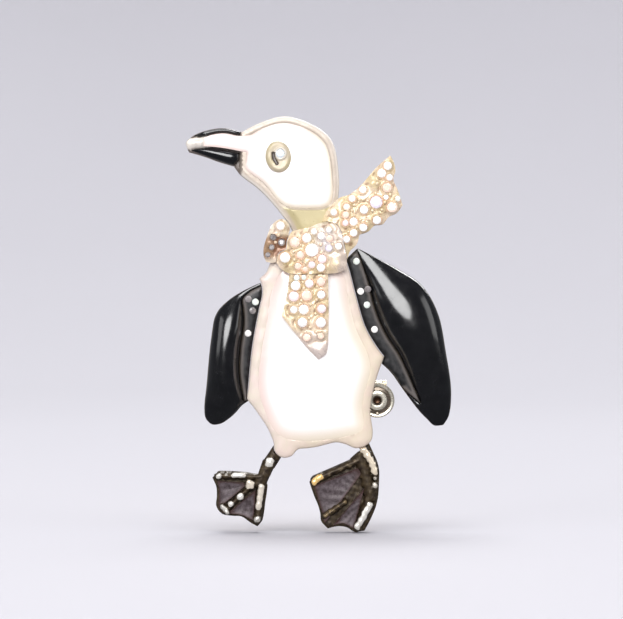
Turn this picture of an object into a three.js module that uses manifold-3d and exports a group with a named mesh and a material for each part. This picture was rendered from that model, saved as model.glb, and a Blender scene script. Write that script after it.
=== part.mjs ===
// Enamelled penguin brooch: cast gilt head, body, wings, feet and scarf, enamel in the cells, stones in the
// scarf, and a hinged pin with a rotating safety catch on the back.
// Millimetres. +Z is up as the brooch is worn, the face looks along -Y, and +X is to the right seen from
// the front. The origin is the middle of the pin stem, on its axis. "left" and "right" are as seen from the
// front.
import * as THREE from "three";
import { mergeVertices } from "three/addons/utils/BufferGeometryUtils.js";
import Module from "manifold-3d";

const wasm = await Module();
wasm.setup();

// ---- Depths, from the back of the castings to the crown of each layer ----
const BACK = -4.6;
const WING_FACE = -5.5;
const FOOT_FACE = -5.3;
const CELL_FLOOR = -6.0;
const RIM_FACE = -7.0;
const SCARF_BACK = -7.1;
const BELLY_CROWN = -8.9;
const HEAD_CROWN = -8.4;
const WING_CROWN = -7.6;
const COLLAR_FACE = -8.9;
const FRONT_TAIL_FACE = -9.1;
const FLYING_TAIL_FACE = -8.6;

// ---- How far parts of a layer stand off it ----
const CHAMFER = 0.15;
const BEAK_EDGE = -6.3;
const UPPER_BEAK_CROWN = -6.7;
const LOWER_BEAK_CROWN = -6.95;
const STRIPE_EDGE = -6.5;
const STRIPE_CROWN = -7.2;
const TIP_EDGE = -6.4;
const TIP_ROOT = 0.5;
const EYE_FACE = -8.75;
const EYE_DISH = 0.25;
const EYE_RIM = { start: 0.2, end: 0.45, dish: 0.8 };
const WING_EDGE = 0.45;
const BAND_THICKNESS = 0.85;
const RIDGE_EDGE = 0.3;
const RIDGE_CROWN = 1.1;
const WEB_THICKNESS = 0.35;

// ---- Clearances and resolution ----
const GAP = 0.1;
const STEP = 1.3;
const FEWEST_STEPS = 18;
const CUT_FROM = 4;
const CUT_TO = -14;

// ---- Stones ----
const STONE_SIDES = 6;
const STONE_TABLE = 0.6;
const STONE_MARGIN = 0.25;
const STONE_BED = 0.2;
const STONE_HEIGHT = 0.5;
const WING_CRYSTAL_RADIUS = 0.48;
const WING_CRYSTAL_HEIGHT = 0.4;
const EYE_CRYSTAL = { x: -5.22, z: 33.2, radius: 0.68, height: 0.55 };

// ---- Hinge and pin, on the axis of the stem ----
const HINGE_X = -7.84;
const BRACKET_PAD = { radius: 1.7, thickness: 0.5 };
const CHEEK_INNER = 0.7;
const CHEEK_OUTER = 1.2;
const CHEEK_FLARE = 0.2;
const RIVET_RADIUS = 0.36;
const RIVET_HEAD = { radius: 0.7, thickness: 0.3 };
const STEM_RADIUS = 0.42;
const STEM_TIP_X = 9.1;
const STEM_TAPER = 5.0;
const STEM_POINT = 0.1;
const EYE_RADIUS = 1.0;
const EYE_HALF_HEIGHT = 0.6;

// ---- Safety catch ----
const CATCH_X = 8.1;
const CATCH_PAD = { x: 8.4, z: -1.3, radius: 2.45, thickness: 0.6, lip: 0.35, lipFront: 0.3 };
const CATCH_RING = { z: -1.6, radius: 1.65, bore: 1.0, front: 0.7 };
const CATCH_POST = { halfWidth: 0.8, halfHeight: 0.55 };
const BARREL = { radius: 1.3, bore: 1.0, halfLength: 1.2, slot: 0.65 };
const SLEEVE = { radius: 0.9, bore: 0.6, overhang: 0.2, slot: 0.56 };
const FLANGE_THICKNESS = 0.5;
const LEVER = { halfWidth: 0.35, from: -0.9, to: -2.5, thumb: 0.5 };

// ---- Materials ----
const gilt = () => new THREE.MeshStandardMaterial({ color: 0xe6cf9c, roughness: 0.28, metalness: 1.0 });
const darkGilt = () => new THREE.MeshStandardMaterial({ color: 0xb9a27a, roughness: 0.35, metalness: 1.0 });
const steel = () => new THREE.MeshStandardMaterial({ color: 0xc8c6c0, roughness: 0.25, metalness: 1.0 });
const whiteEnamel = () => new THREE.MeshStandardMaterial({ color: 0xf8f4ec, roughness: 0.12, metalness: 0 });
const blackEnamel = () => new THREE.MeshStandardMaterial({ color: 0x0b0b10, roughness: 0.1, metalness: 0 });
const webEnamel = () => new THREE.MeshStandardMaterial({ color: 0x3a2a26, roughness: 0.2, metalness: 0 });
const crystal = () => new THREE.MeshStandardMaterial({ color: 0xf3ebe6, roughness: 0.05, metalness: 0 });

// ---- Outlines in the X-Z plane, counter-clockwise seen from the front ----

// One smooth curve for each stretch, with a corner where two stretches meet.
function outline(...stretches) {
  const curves = stretches.map((points) => {
    const places = points.map(([x, z]) => new THREE.Vector3(x, 0, z));
    return new THREE.CatmullRomCurve3(places, false, "centripetal");
  });
  const total = curves.reduce((sum, curve) => sum + curve.getLength(), 0);
  const step = Math.min(STEP, total / FEWEST_STEPS);
  return curves.flatMap((curve) => {
    const count = Math.max(1, Math.round(curve.getLength() / step));
    return curve.getSpacedPoints(count).slice(0, -1).map((p) => new THREE.Vector2(p.x, p.z));
  });
}

function smoothOutline(...points) {
  const places = points.map(([x, z]) => new THREE.Vector3(x, 0, z));
  const curve = new THREE.CatmullRomCurve3(places, true, "centripetal");
  const count = Math.max(FEWEST_STEPS, Math.round(curve.getLength() / STEP));
  return curve.getSpacedPoints(count).slice(0, -1).map((p) => new THREE.Vector2(p.x, p.z));
}

function ellipse(x, z, halfWidth, halfHeight, count, tilt = 0) {
  return Array.from({ length: count }, (_, i) => {
    const angle = (2 * Math.PI * i) / count;
    const point = new THREE.Vector2(halfWidth * Math.cos(angle), halfHeight * Math.sin(angle));
    return point.rotateAround(new THREE.Vector2(), tilt).add(new THREE.Vector2(x, z));
  });
}

// A bar with round ends from one place to another, with its own half width at each end.
function barOutline(from, to, halfFrom, halfTo) {
  const direction = Math.atan2(to[1] - from[1], to[0] - from[0]);
  const loop = [];
  const endSteps = 3;
  for (const [centre, half, start] of [[to, halfTo, -Math.PI / 2], [from, halfFrom, Math.PI / 2]]) {
    for (let i = 0; i <= endSteps; i += 1) {
      const angle = direction + start + (Math.PI * i) / endSteps;
      loop.push(new THREE.Vector2(centre[0] + half * Math.cos(angle), centre[1] + half * Math.sin(angle)));
    }
  }
  return loop;
}

function grow(loop, distance) {
  return loop.map((point, i) => {
    const before = loop[(i + loop.length - 1) % loop.length];
    const after = loop[(i + 1) % loop.length];
    const along = after.clone().sub(before).normalize();
    return new THREE.Vector2(point.x + along.y * distance, point.y - along.x * distance);
  });
}

function nearestOnSpine(point, [from, to]) {
  const start = new THREE.Vector2(...from);
  const line = new THREE.Vector2(...to).sub(start);
  const share = line.lengthSq() > 0 ? point.clone().sub(start).dot(line) / line.lengthSq() : 0;
  return start.add(line.multiplyScalar(THREE.MathUtils.clamp(share, 0, 1)));
}

// ---- Solids ----

// A closed solid of rings: each level is [depth, inset, shrink], pulled in towards the spine.
function stack(loop, spine, levels) {
  const positions = [];
  const indices = [];
  const count = loop.length;
  const rings = levels.map(([depth, inset = 0, shrink = 1]) => loop.map((point) => {
    const centre = nearestOnSpine(point, spine);
    const arm = point.clone().sub(centre);
    const keep = Math.max(0.02, 1 - inset / arm.length()) * shrink;
    const place = centre.add(arm.multiplyScalar(keep));
    positions.push(place.x, depth, place.y);
    return place;
  }));
  const cap = (ring, offset, facesFront) => {
    for (const [a, b, c] of THREE.ShapeUtils.triangulateShape(ring, [])) {
      const turn = ring[b].clone().sub(ring[a]).cross(ring[c].clone().sub(ring[a]));
      const order = (turn > 0) === facesFront ? [a, b, c] : [a, c, b];
      indices.push(...order.map((i) => i + offset));
    }
  };
  cap(rings[0], 0, false);
  for (let level = 0; level + 1 < rings.length; level += 1) {
    for (let i = 0; i < count; i += 1) {
      const a = level * count + i;
      const b = level * count + ((i + 1) % count);
      indices.push(a, b, b + count, a, b + count, a + count);
    }
  }
  cap(rings[rings.length - 1], (rings.length - 1) * count, true);
  const geometry = new THREE.BufferGeometry();
  geometry.setAttribute("position", new THREE.Float32BufferAttribute(positions, 3));
  geometry.setIndex(indices);
  return geometry;
}

function solidOf(geometry) {
  const bare = geometry.clone();
  bare.deleteAttribute("normal");
  bare.deleteAttribute("uv");
  const merged = mergeVertices(bare, 1e-5);
  const vertProperties = new Float32Array(merged.attributes.position.array);
  const triVerts = new Uint32Array(merged.index.array);
  return new wasm.Manifold(new wasm.Mesh({ numProp: 3, vertProperties, triVerts }));
}

function geometryOf(solid) {
  const mesh = solid.getMesh();
  const geometry = new THREE.BufferGeometry();
  geometry.setAttribute("position", new THREE.BufferAttribute(mesh.vertProperties, 3));
  geometry.setIndex(new THREE.BufferAttribute(mesh.triVerts, 1));
  geometry.computeVertexNormals();
  return geometry;
}

function prism(loop, from, to) {
  const centre = loop.reduce((sum, p) => sum.add(p), new THREE.Vector2()).divideScalar(loop.length);
  return solidOf(stack(loop, [centre.toArray(), centre.toArray()], [[from], [to]]));
}

// What an outline takes out of its neighbours, with the clearance all round.
function cutter(loop) {
  return prism(grow(loop, GAP), CUT_FROM, CUT_TO);
}

function plate(loop, spine, from, to) {
  return solidOf(stack(loop, spine, [[from], [to + CHAMFER], [to, CHAMFER]]));
}

// A wall up to the edge, then a dome that is round at the edge and level at the crown.
function dome(loop, spine, from, edge, crown, inset = 0) {
  const steps = 3;
  const last = THREE.MathUtils.degToRad(76);
  const levels = [[from, inset], [edge, inset]];
  for (let i = 1; i <= steps; i += 1) {
    const angle = (last * i) / steps;
    levels.push([edge + ((crown - edge) * Math.sin(angle)) / Math.sin(last), inset, Math.cos(angle)]);
  }
  return solidOf(stack(loop, spine, levels));
}

function cylinder(radius, length, axis, centre, sides = 18) {
  const geometry = new THREE.CylinderGeometry(radius, radius, length, sides);
  if (axis === "x") geometry.rotateZ(Math.PI / 2);
  if (axis === "z") geometry.rotateX(Math.PI / 2);
  geometry.translate(...centre);
  return solidOf(geometry);
}

function box(low, high) {
  const size = high.map((value, i) => value - low[i]);
  const geometry = new THREE.BoxGeometry(...size);
  geometry.translate(...high.map((value, i) => (value + low[i]) / 2));
  return solidOf(geometry);
}

// ---- Outlines of the figure ----

const headLine = outline(
  [[-3.0, 19.65], [3.2, 19.65]],
  [[3.2, 19.65], [2.7, 24.5], [2.95, 30.2], [1.6, 35.7], [-4.3, 38.6], [-8.4, 37.6], [-10.8, 36.4]],
  [[-10.8, 36.4], [-11.0, 34.8], [-10.85, 32.8], [-11.75, 31.6]],
  [[-11.75, 31.6], [-10.9, 30.5], [-8.2, 28.4], [-5.3, 25.2], [-3.6, 22.6], [-3.0, 19.65]],
);
const headCell = smoothOutline(
  [1.7, 26.2], [2.1, 30.2], [0.8, 35.2], [-4.3, 37.75], [-8.4, 36.7], [-10.1, 35.3],
  [-10.0, 33.0], [-10.3, 31.5], [-7.6, 29.1], [-4.8, 26.1], [-1.4, 25.6],
);
const headSpine = [[-5.6, 32.4], [-2.4, 31.2]];

const beakLine = outline(
  [[-10.3, 36.4], [-13.0, 37.05], [-15.4, 36.8], [-17.6, 35.95], [-18.6, 34.9], [-18.2, 33.75]],
  [[-18.2, 33.75], [-16.1, 33.15], [-13.9, 32.35], [-11.6, 31.7]],
  [[-11.6, 31.7], [-10.3, 32.4]],
  [[-10.3, 32.4], [-10.3, 36.4]],
);
const beakStripe = outline(
  [[-9.4, 36.0], [-11.2, 35.85], [-13.0, 36.2], [-14.8, 36.0], [-16.0, 35.55]],
  [[-16.0, 35.55], [-16.0, 34.4]],
  [[-16.0, 34.4], [-14.3, 34.3], [-12.3, 34.0], [-9.4, 33.4]],
  [[-9.4, 33.4], [-9.4, 36.0]],
);
const beakTip = outline(
  [[-16.12, 35.55], [-17.4, 35.75], [-18.35, 35.2], [-18.45, 34.5], [-17.8, 34.12], [-16.12, 34.4]],
  [[-16.12, 34.4], [-16.12, 35.55]],
);
const upperBeak = outline(
  [[-10.2, 36.3], [-13.0, 36.95], [-15.4, 36.7], [-17.45, 35.95]],
  [[-17.45, 35.95], [-16.1, 35.75], [-14.8, 36.15], [-13.0, 36.35], [-11.1, 36.0], [-10.2, 36.3]],
);
const lowerBeak = outline(
  [[-10.2, 33.4], [-12.3, 33.85], [-14.3, 34.15], [-16.1, 34.25], [-17.9, 33.95]],
  [[-17.9, 33.95], [-16.1, 33.25], [-13.9, 32.45], [-11.7, 31.85], [-10.2, 32.2]],
  [[-10.2, 32.2], [-10.2, 33.4]],
);
const beakStripeSpine = [[-15.2, 35.0], [-10.5, 34.8]];
const beakTipSpine = [[-17.6, 34.9], [-16.5, 35.0]];
const upperBeakSpine = [[-15.6, 36.35], [-11.5, 36.45]];
const lowerBeakSpine = [[-16.2, 33.7], [-12.3, 33.0]];
const eyeLine = ellipse(-5.5, 32.8, 1.8, 2.2, 20, 0.15);
const eyeSpine = [[-5.5, 32.8], [-5.5, 32.8]];

const bodyLine = outline(
  [[3.6, 19.5], [-4.6, 19.5]],
  [[-4.6, 19.5], [-6.4, 18.7], [-7.0, 17.1], [-8.2, 15.9]],
  [[-8.2, 15.9], [-7.75, 14.2], [-8.3, 11.3], [-9.2, 6.3], [-9.7, 1.3], [-9.9, -1.0]],
  [[-9.9, -1.0], [-8.3, -3.2], [-6.9, -5.4], [-6.2, -7.2]],
  [[-6.2, -7.2], [-6.0, -8.5], [-4.7, -9.3], [-3.5, -8.9], [-2.8, -8.1]],
  [[-2.8, -8.1], [0.0, -7.7], [2.6, -7.1], [4.0, -7.4]],
  [[4.0, -7.4], [5.6, -7.95], [7.4, -7.0], [7.7, -5.4], [7.35, -3.0], [7.6, -0.7], [8.4, 2.4], [9.3, 4.9]],
  [[9.3, 4.9], [8.1, 6.5], [6.6, 9.2], [5.4, 13.2], [4.4, 17.0], [3.6, 19.5]],
);
const bellyCell = smoothOutline(
  [3.4, 16.6], [0.0, 17.6], [-4.6, 17.2], [-6.4, 14.2], [-7.0, 10.5], [-7.9, 5.5], [-8.3, 1.0],
  [-7.4, -2.7], [-5.6, -5.9], [-2.6, -6.8], [3.4, -6.3], [6.2, -5.2], [6.2, -1.6], [7.3, 3.8],
  [5.2, 9.2], [4.2, 13.2],
);
const bellySpine = [[-0.8, 10.5], [-0.8, 0.5]];

const leftWing = outline(
  [[-7.4, 15.6], [-9.7, 14.6], [-12.4, 13.0], [-14.3, 11.0], [-15.0, 7.8], [-15.7, 0.8], [-16.0, -2.6],
    [-15.6, -4.2], [-14.4, -4.75], [-12.2, -3.6], [-10.6, -1.9], [-8.6, -0.6]],
  [[-8.6, -0.6], [-8.0, 6.0], [-7.4, 15.6]],
);
const leftBand = outline(
  [[-7.0, 15.2], [-9.4, 14.1], [-10.5, 13.0]],
  [[-10.5, 13.0], [-10.3, 9.6], [-10.8, 6.0], [-10.9, 2.4], [-10.3, -1.3]],
  [[-10.3, -1.3], [-8.4, -0.8], [-7.6, 6.0], [-7.0, 15.2]],
);
const leftWingSpine = [[-11.6, 9.6], [-13.4, -1.0]];

const rightWing = outline(
  [[3.9, 18.6], [5.0, 12.0], [8.0, 5.0], [10.3, 2.7], [12.0, 0.3], [14.6, -3.1], [16.4, -4.8]],
  [[16.4, -4.8], [17.7, -4.75], [18.5, -3.3], [18.8, 0.2], [18.1, 5.3], [16.9, 11.1], [14.6, 15.0],
    [10.8, 17.5], [5.6, 20.2]],
  [[5.6, 20.2], [3.9, 18.6]],
);
const rightBand = outline(
  [[3.6, 18.4], [4.6, 12.0], [7.8, 5.2], [10.25, 2.95], [12.0, 0.55], [14.4, -1.6]],
  [[14.4, -1.6], [11.5, 4.9], [9.4, 8.2], [7.9, 11.8], [7.0, 15.4], [5.5, 19.8]],
  [[5.5, 19.8], [3.6, 18.4]],
);
const rightWingSpine = [[10.6, 12.6], [16.0, -0.6]];

const leftFoot = {
  plate: outline(
    [[-7.3, -12.0], [-9.6, -11.5], [-12.0, -11.3], [-14.4, -11.4], [-14.9, -12.2]],
    [[-14.9, -12.2], [-14.3, -13.7], [-14.3, -15.4], [-14.3, -16.4], [-13.4, -17.4], [-12.2, -17.6]],
    [[-12.2, -17.6], [-10.8, -17.7], [-9.6, -18.5]],
    [[-9.6, -18.5], [-8.6, -19.1], [-7.9, -18.4], [-7.4, -15.5], [-7.1, -13.2], [-7.3, -12.0]],
  ),
  ridges: [
    [[-8.2, -12.3], [-14.2, -12.0], 0.62, 0.5],
    [[-8.6, -12.8], [-13.3, -16.8], 0.62, 0.55],
    [[-7.9, -13.1], [-8.5, -18.4], 0.62, 0.5],
    [[-6.9, -10.1], [-8.0, -12.8], 0.95, 0.8],
    [[-5.4, -8.0], [-6.9, -10.3], 0.9, 0.95],
  ],
  webs: {
    left_foot_outer_web: outline(
      [[-9.0, -12.4], [-14.2, -12.3]],
      [[-14.2, -12.3], [-13.9, -13.8], [-14.0, -16.4]],
      [[-14.0, -16.4], [-9.0, -12.4]],
    ),
    left_foot_inner_web: outline(
      [[-8.3, -13.2], [-13.2, -17.2]],
      [[-13.2, -17.2], [-11.0, -17.3], [-8.6, -18.4]],
      [[-8.6, -18.4], [-8.3, -13.2]],
    ),
  },
};
const rightFoot = {
  plate: outline(
    [[5.6, -8.6], [3.4, -10.4], [0.6, -11.5], [-0.9, -12.0], [-1.2, -12.8]],
    [[-1.2, -12.8], [-0.6, -14.6], [0.2, -16.6], [0.5, -18.4]],
    [[0.5, -18.4], [1.1, -19.3], [2.0, -19.4], [3.4, -18.9], [4.6, -19.6], [5.6, -20.0], [6.6, -19.7]],
    [[6.6, -19.7], [7.6, -17.8], [8.4, -15.6], [8.65, -13.0], [8.6, -10.6], [7.9, -8.8], [7.4, -7.6]],
    [[7.4, -7.6], [5.6, -8.6]],
  ),
  ridges: [
    [[6.4, -9.6], [-0.5, -12.5], 0.7, 0.6],
    [[6.9, -11.9], [1.5, -18.8], 0.75, 0.45],
    [[7.6, -13.2], [5.7, -19.3], 0.75, 0.55],
    [[7.2, -9.0], [7.9, -12.6], 0.7, 0.7],
    [[6.0, -6.4], [7.2, -9.2], 0.8, 0.75],
  ],
  webs: {
    right_foot_inner_web: outline(
      [[5.8, -10.4], [-0.6, -13.0]],
      [[-0.6, -13.0], [0.2, -15.6], [1.0, -18.6]],
      [[1.0, -18.6], [6.4, -11.6]],
      [[6.4, -11.6], [5.8, -10.4]],
    ),
    right_foot_outer_web: outline(
      [[7.2, -12.9], [1.9, -19.0]],
      [[1.9, -19.0], [3.4, -18.5], [5.2, -19.4]],
      [[5.2, -19.4], [7.2, -12.9]],
    ),
  },
};

const collarLine = smoothOutline(
  [3.9, 17.1], [3.6, 20.5], [2.7, 23.2], [0.8, 23.7], [-1.4, 22.9], [-3.6, 22.4], [-4.3, 21.0],
  [-4.4, 19.9], [-5.3, 19.5], [-5.8, 18.2], [-4.4, 16.7], [-1.0, 16.5], [2.0, 16.6],
);
const shoulderLine = smoothOutline(
  [-3.9, 23.0], [-4.7, 24.15], [-6.1, 23.7], [-7.1, 21.7], [-7.6, 19.6], [-7.2, 18.2], [-5.6, 18.2],
  [-4.6, 19.0], [-4.2, 20.6], [-4.1, 22.0],
);
const frontTailLine = outline(
  [[1.4, 17.2], [-3.9, 17.2]],
  [[-3.9, 17.2], [-4.3, 13.6], [-5.0, 10.6]],
  [[-5.0, 10.6], [-2.8, 7.8], [-1.3, 6.0], [0.1, 4.6]],
  [[0.1, 4.6], [1.1, 5.4], [1.45, 9.0], [1.4, 17.2]],
);
const flyingTailLine = outline(
  [[4.0, 18.3], [4.6, 19.9], [5.6, 20.9], [5.8, 22.0]],
  [[5.8, 22.0], [6.9, 22.3], [7.5, 23.2], [8.8, 23.2], [9.6, 24.3], [10.9, 24.9], [11.8, 26.1]],
  [[11.8, 26.1], [11.3, 27.7], [10.5, 29.7]],
  [[10.5, 29.7], [10.8, 31.3], [10.1, 33.0]],
  [[10.1, 33.0], [8.4, 31.6], [6.2, 29.1], [4.6, 27.7], [3.0, 27.1]],
  [[3.0, 27.1], [1.4, 25.5], [0.6, 23.9], [2.4, 21.4], [4.0, 18.3]],
);
const collarSpine = [[-3.0, 19.4], [2.0, 20.0]];
const shoulderSpine = [[-5.4, 22.8], [-6.7, 19.6]];
const frontTailSpine = [[-1.6, 15.6], [-0.8, 8.0]];
const flyingTailSpine = [[3.6, 23.0], [9.0, 27.8]];

// ---- Stones of the scarf, each [x, z, radius] ----

const collarStones = [
  [-3.2, 20.9, 0.7], [-1.55, 21.45, 0.66], [-0.85, 19.8, 0.92], [-4.55, 18.75, 0.72], [-2.45, 19.1, 0.55],
  [0.6, 18.55, 0.6], [0.4, 17.35, 0.58], [-0.85, 17.75, 0.5], [-1.75, 17.15, 0.38], [-2.75, 17.55, 0.5],
  [-0.55, 22.35, 0.42], [0.45, 21.75, 0.52], [1.6, 21.4, 0.5], [1.5, 20.05, 0.5], [2.85, 20.3, 0.48],
  [1.5, 22.6, 0.42],
];
const shoulderStones = [
  [-5.2, 23.15, 0.58], [-6.2, 21.6, 0.44], [-5.05, 20.9, 0.5], [-6.45, 20.2, 0.4], [-6.95, 19.15, 0.36],
];
const frontTailStones = [
  [-2.95, 15.95, 0.42], [-1.95, 16.0, 0.36], [-3.1, 14.85, 0.68], [-1.2, 15.15, 0.6], [0.4, 15.4, 0.6],
  [-3.35, 13.35, 0.72], [-1.55, 13.5, 0.74], [0.45, 13.6, 0.58], [-1.95, 11.55, 0.7], [0.5, 11.65, 0.62],
  [-3.35, 11.5, 0.52], [-2.15, 9.75, 0.68], [0.4, 9.75, 0.72], [-1.55, 7.7, 0.55], [0.4, 7.9, 0.46],
];
const flyingTailStones = [
  [9.7, 31.5, 0.58], [8.85, 30.45, 0.6], [9.95, 29.9, 0.48], [9.6, 28.45, 0.66], [8.1, 26.45, 0.88],
  [10.3, 25.75, 0.75], [11.1, 26.95, 0.4], [9.45, 27.15, 0.36], [6.25, 28.2, 0.5], [4.75, 26.95, 0.48],
  [4.0, 25.8, 0.52], [3.85, 24.7, 0.5], [3.8, 23.55, 0.44], [6.4, 25.4, 0.6], [4.95, 23.75, 0.58],
  [4.95, 22.2, 0.52], [3.98, 21.3, 0.5], [6.3, 22.95, 0.56], [8.2, 23.98, 0.6], [2.2, 25.05, 0.48],
];

// ---- The figure ----

const bodyCut = cutter(bodyLine);
const headCut = cutter(headLine);
const collarCut = cutter(collarLine);
const frontTailCut = cutter(frontTailLine);
const flyingTailCut = cutter(flyingTailLine);

function headCasting() {
  const skull = plate(headLine, headSpine, BACK, RIM_FACE);
  const beak = prism(beakLine, BACK, CELL_FLOOR);
  const tip = dome(beakTip, beakTipSpine, CELL_FLOOR + TIP_ROOT, TIP_EDGE, RIM_FACE);
  const cell = prism(headCell, CELL_FLOOR, CUT_TO);
  const stripe = prism(grow(beakStripe, GAP), CELL_FLOOR, CUT_TO);
  return skull.subtract(cell).subtract(stripe).add(beak).add(tip);
}

function headEnamel() {
  const face = dome(headCell, headSpine, CELL_FLOOR - GAP / 2, RIM_FACE, HEAD_CROWN, GAP);
  const stripe = dome(beakStripe, beakStripeSpine, CELL_FLOOR - GAP / 2, STRIPE_EDGE, STRIPE_CROWN);
  return face.add(stripe).subtract(cutter(eyeLine)).subtract(flyingTailCut);
}

function beakEnamel(loop, spine, crown) {
  return dome(loop, spine, CELL_FLOOR - GAP / 2, BEAK_EDGE, crown).subtract(headCut);
}

// A raised oval lip round a shallow dish.
function eyeBezel() {
  const side = EYE_FACE + EYE_DISH;
  const levels = [[CELL_FLOOR - GAP / 2], [side], [EYE_FACE, EYE_RIM.start], [EYE_FACE, EYE_RIM.end],
    [side, EYE_RIM.dish]];
  return solidOf(stack(eyeLine, eyeSpine, levels));
}

function roundStone(x, z, radius, from, height, sides) {
  const centre = [[x, z], [x, z]];
  const levels = [[from], [from - height, 0, STONE_TABLE]];
  return solidOf(stack(ellipse(x, z, radius, radius, sides), centre, levels));
}

function eyeCrystal() {
  const { x, z, radius, height } = EYE_CRYSTAL;
  const from = EYE_FACE + EYE_DISH - GAP / 2;
  return roundStone(x, z, radius, from, height, 2 * STONE_SIDES);
}

function bodyCasting() {
  const shell = plate(bodyLine, bellySpine, BACK, RIM_FACE);
  return shell.subtract(prism(bellyCell, CELL_FLOOR, CUT_TO));
}

function bellyEnamel() {
  const belly = dome(bellyCell, bellySpine, CELL_FLOOR - GAP / 2, RIM_FACE, BELLY_CROWN, GAP);
  return belly.subtract(frontTailCut).subtract(collarCut);
}

function wingCasting(loop, spine) {
  return solidOf(stack(loop, spine, [[BACK], [WING_FACE]])).subtract(bodyCut);
}

function wingEnamel(loop, band, spine) {
  const face = dome(loop, spine, WING_FACE - GAP / 2, WING_FACE - WING_EDGE, WING_CROWN, GAP);
  return face.subtract(cutter(band)).subtract(bodyCut);
}

function wingBand(loop, wing) {
  const inside = prism(grow(wing, -GAP), CUT_FROM, CUT_TO);
  const strip = prism(loop, WING_FACE - GAP / 2, WING_FACE - GAP / 2 - BAND_THICKNESS);
  return strip.intersect(inside).subtract(bodyCut);
}

// A toe or a leg: a round-topped bar, made wider all round by the clearance when it is a cutter.
function ridge([from, to, halfFrom, halfTo], clearance = 0) {
  const loop = barOutline(from, to, halfFrom + clearance, halfTo + clearance);
  const edge = FOOT_FACE - RIDGE_EDGE - clearance;
  return dome(loop, [from, to], BACK, edge, FOOT_FACE - RIDGE_CROWN - clearance);
}

function footCasting(foot) {
  const base = prism(foot.plate, BACK, FOOT_FACE);
  return foot.ridges.reduce((whole, bar) => whole.add(ridge(bar)), base).subtract(bodyCut);
}

function footWeb(foot, loop) {
  const back = FOOT_FACE - GAP / 2;
  const sheet = prism(loop, back, back - WEB_THICKNESS);
  return foot.ridges.reduce((web, bar) => web.subtract(ridge(bar, GAP)), sheet);
}

// A thin bed over a part of the scarf, with its stones standing on it.
function pave(loop, spine, face, stones) {
  const back = face - GAP / 2;
  const bedFace = back - STONE_BED;
  const bed = solidOf(stack(loop, spine, [[back, STONE_MARGIN], [bedFace, STONE_MARGIN]]));
  const sunk = STONE_BED / 2;
  return stones.reduce((whole, [x, z, radius]) => {
    const stone = roundStone(x, z, radius, bedFace + sunk, STONE_HEIGHT + sunk, STONE_SIDES);
    return whole.add(stone);
  }, bed);
}

// ---- Pin, hinge and catch ----

// Two round-headed cheeks on a soldered pad.
function hingeBracket() {
  const padFace = BACK + GAP;
  const pad = cylinder(BRACKET_PAD.radius, BRACKET_PAD.thickness, "y",
    [HINGE_X, padFace + BRACKET_PAD.thickness / 2, 0]);
  const root = padFace + BRACKET_PAD.thickness - CHEEK_FLARE;
  const profile = new THREE.Shape();
  profile.moveTo(-EYE_RADIUS - CHEEK_FLARE, root);
  profile.lineTo(EYE_RADIUS + CHEEK_FLARE, root);
  profile.lineTo(EYE_RADIUS, 0);
  profile.absarc(0, 0, EYE_RADIUS, 0, Math.PI, false);
  const hole = new THREE.Path();
  hole.absarc(0, 0, RIVET_RADIUS + GAP / 2, 0, 2 * Math.PI, true);
  profile.holes.push(hole);
  const depth = CHEEK_OUTER - CHEEK_INNER;
  return [CHEEK_INNER, -CHEEK_OUTER].reduce((whole, z) => {
    const cheek = new THREE.ExtrudeGeometry(profile, { depth, bevelEnabled: false, curveSegments: 10 });
    cheek.translate(HINGE_X, 0, z);
    return whole.add(solidOf(cheek));
  }, pad);
}

function hingeRivet() {
  const shoulder = CHEEK_OUTER + GAP / 2;
  const end = shoulder + RIVET_HEAD.thickness;
  const profile = [
    [0, -end], [RIVET_HEAD.radius, -end], [RIVET_HEAD.radius, -shoulder], [RIVET_RADIUS, -shoulder],
    [RIVET_RADIUS, shoulder], [RIVET_HEAD.radius, shoulder], [RIVET_HEAD.radius, end], [0, end],
  ];
  const geometry = new THREE.LatheGeometry(profile.map(([r, h]) => new THREE.Vector2(r, h)), 16);
  geometry.rotateX(Math.PI / 2);
  geometry.translate(HINGE_X, 0, 0);
  return solidOf(geometry);
}

// A flattened eye on a wire that is ground to a point.
function pinStem() {
  const start = HINGE_X + EYE_RADIUS * 0.7;
  const profile = [
    [0, start], [STEM_RADIUS, start], [STEM_RADIUS, STEM_TIP_X - STEM_TAPER],
    [STEM_RADIUS * 0.75, STEM_TIP_X - STEM_TAPER / 2], [STEM_POINT, STEM_TIP_X - STEM_POINT], [0, STEM_TIP_X],
  ];
  const rod = new THREE.LatheGeometry(profile.map(([r, h]) => new THREE.Vector2(r, h)), 12);
  rod.rotateZ(-Math.PI / 2);
  const eye = cylinder(EYE_RADIUS, 2 * EYE_HALF_HEIGHT, "z", [HINGE_X, 0, 0]);
  const hole = cylinder(RIVET_RADIUS + GAP / 2, 4 * EYE_HALF_HEIGHT, "z", [HINGE_X, 0, 0]);
  return eye.add(solidOf(rod)).subtract(hole);
}

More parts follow.
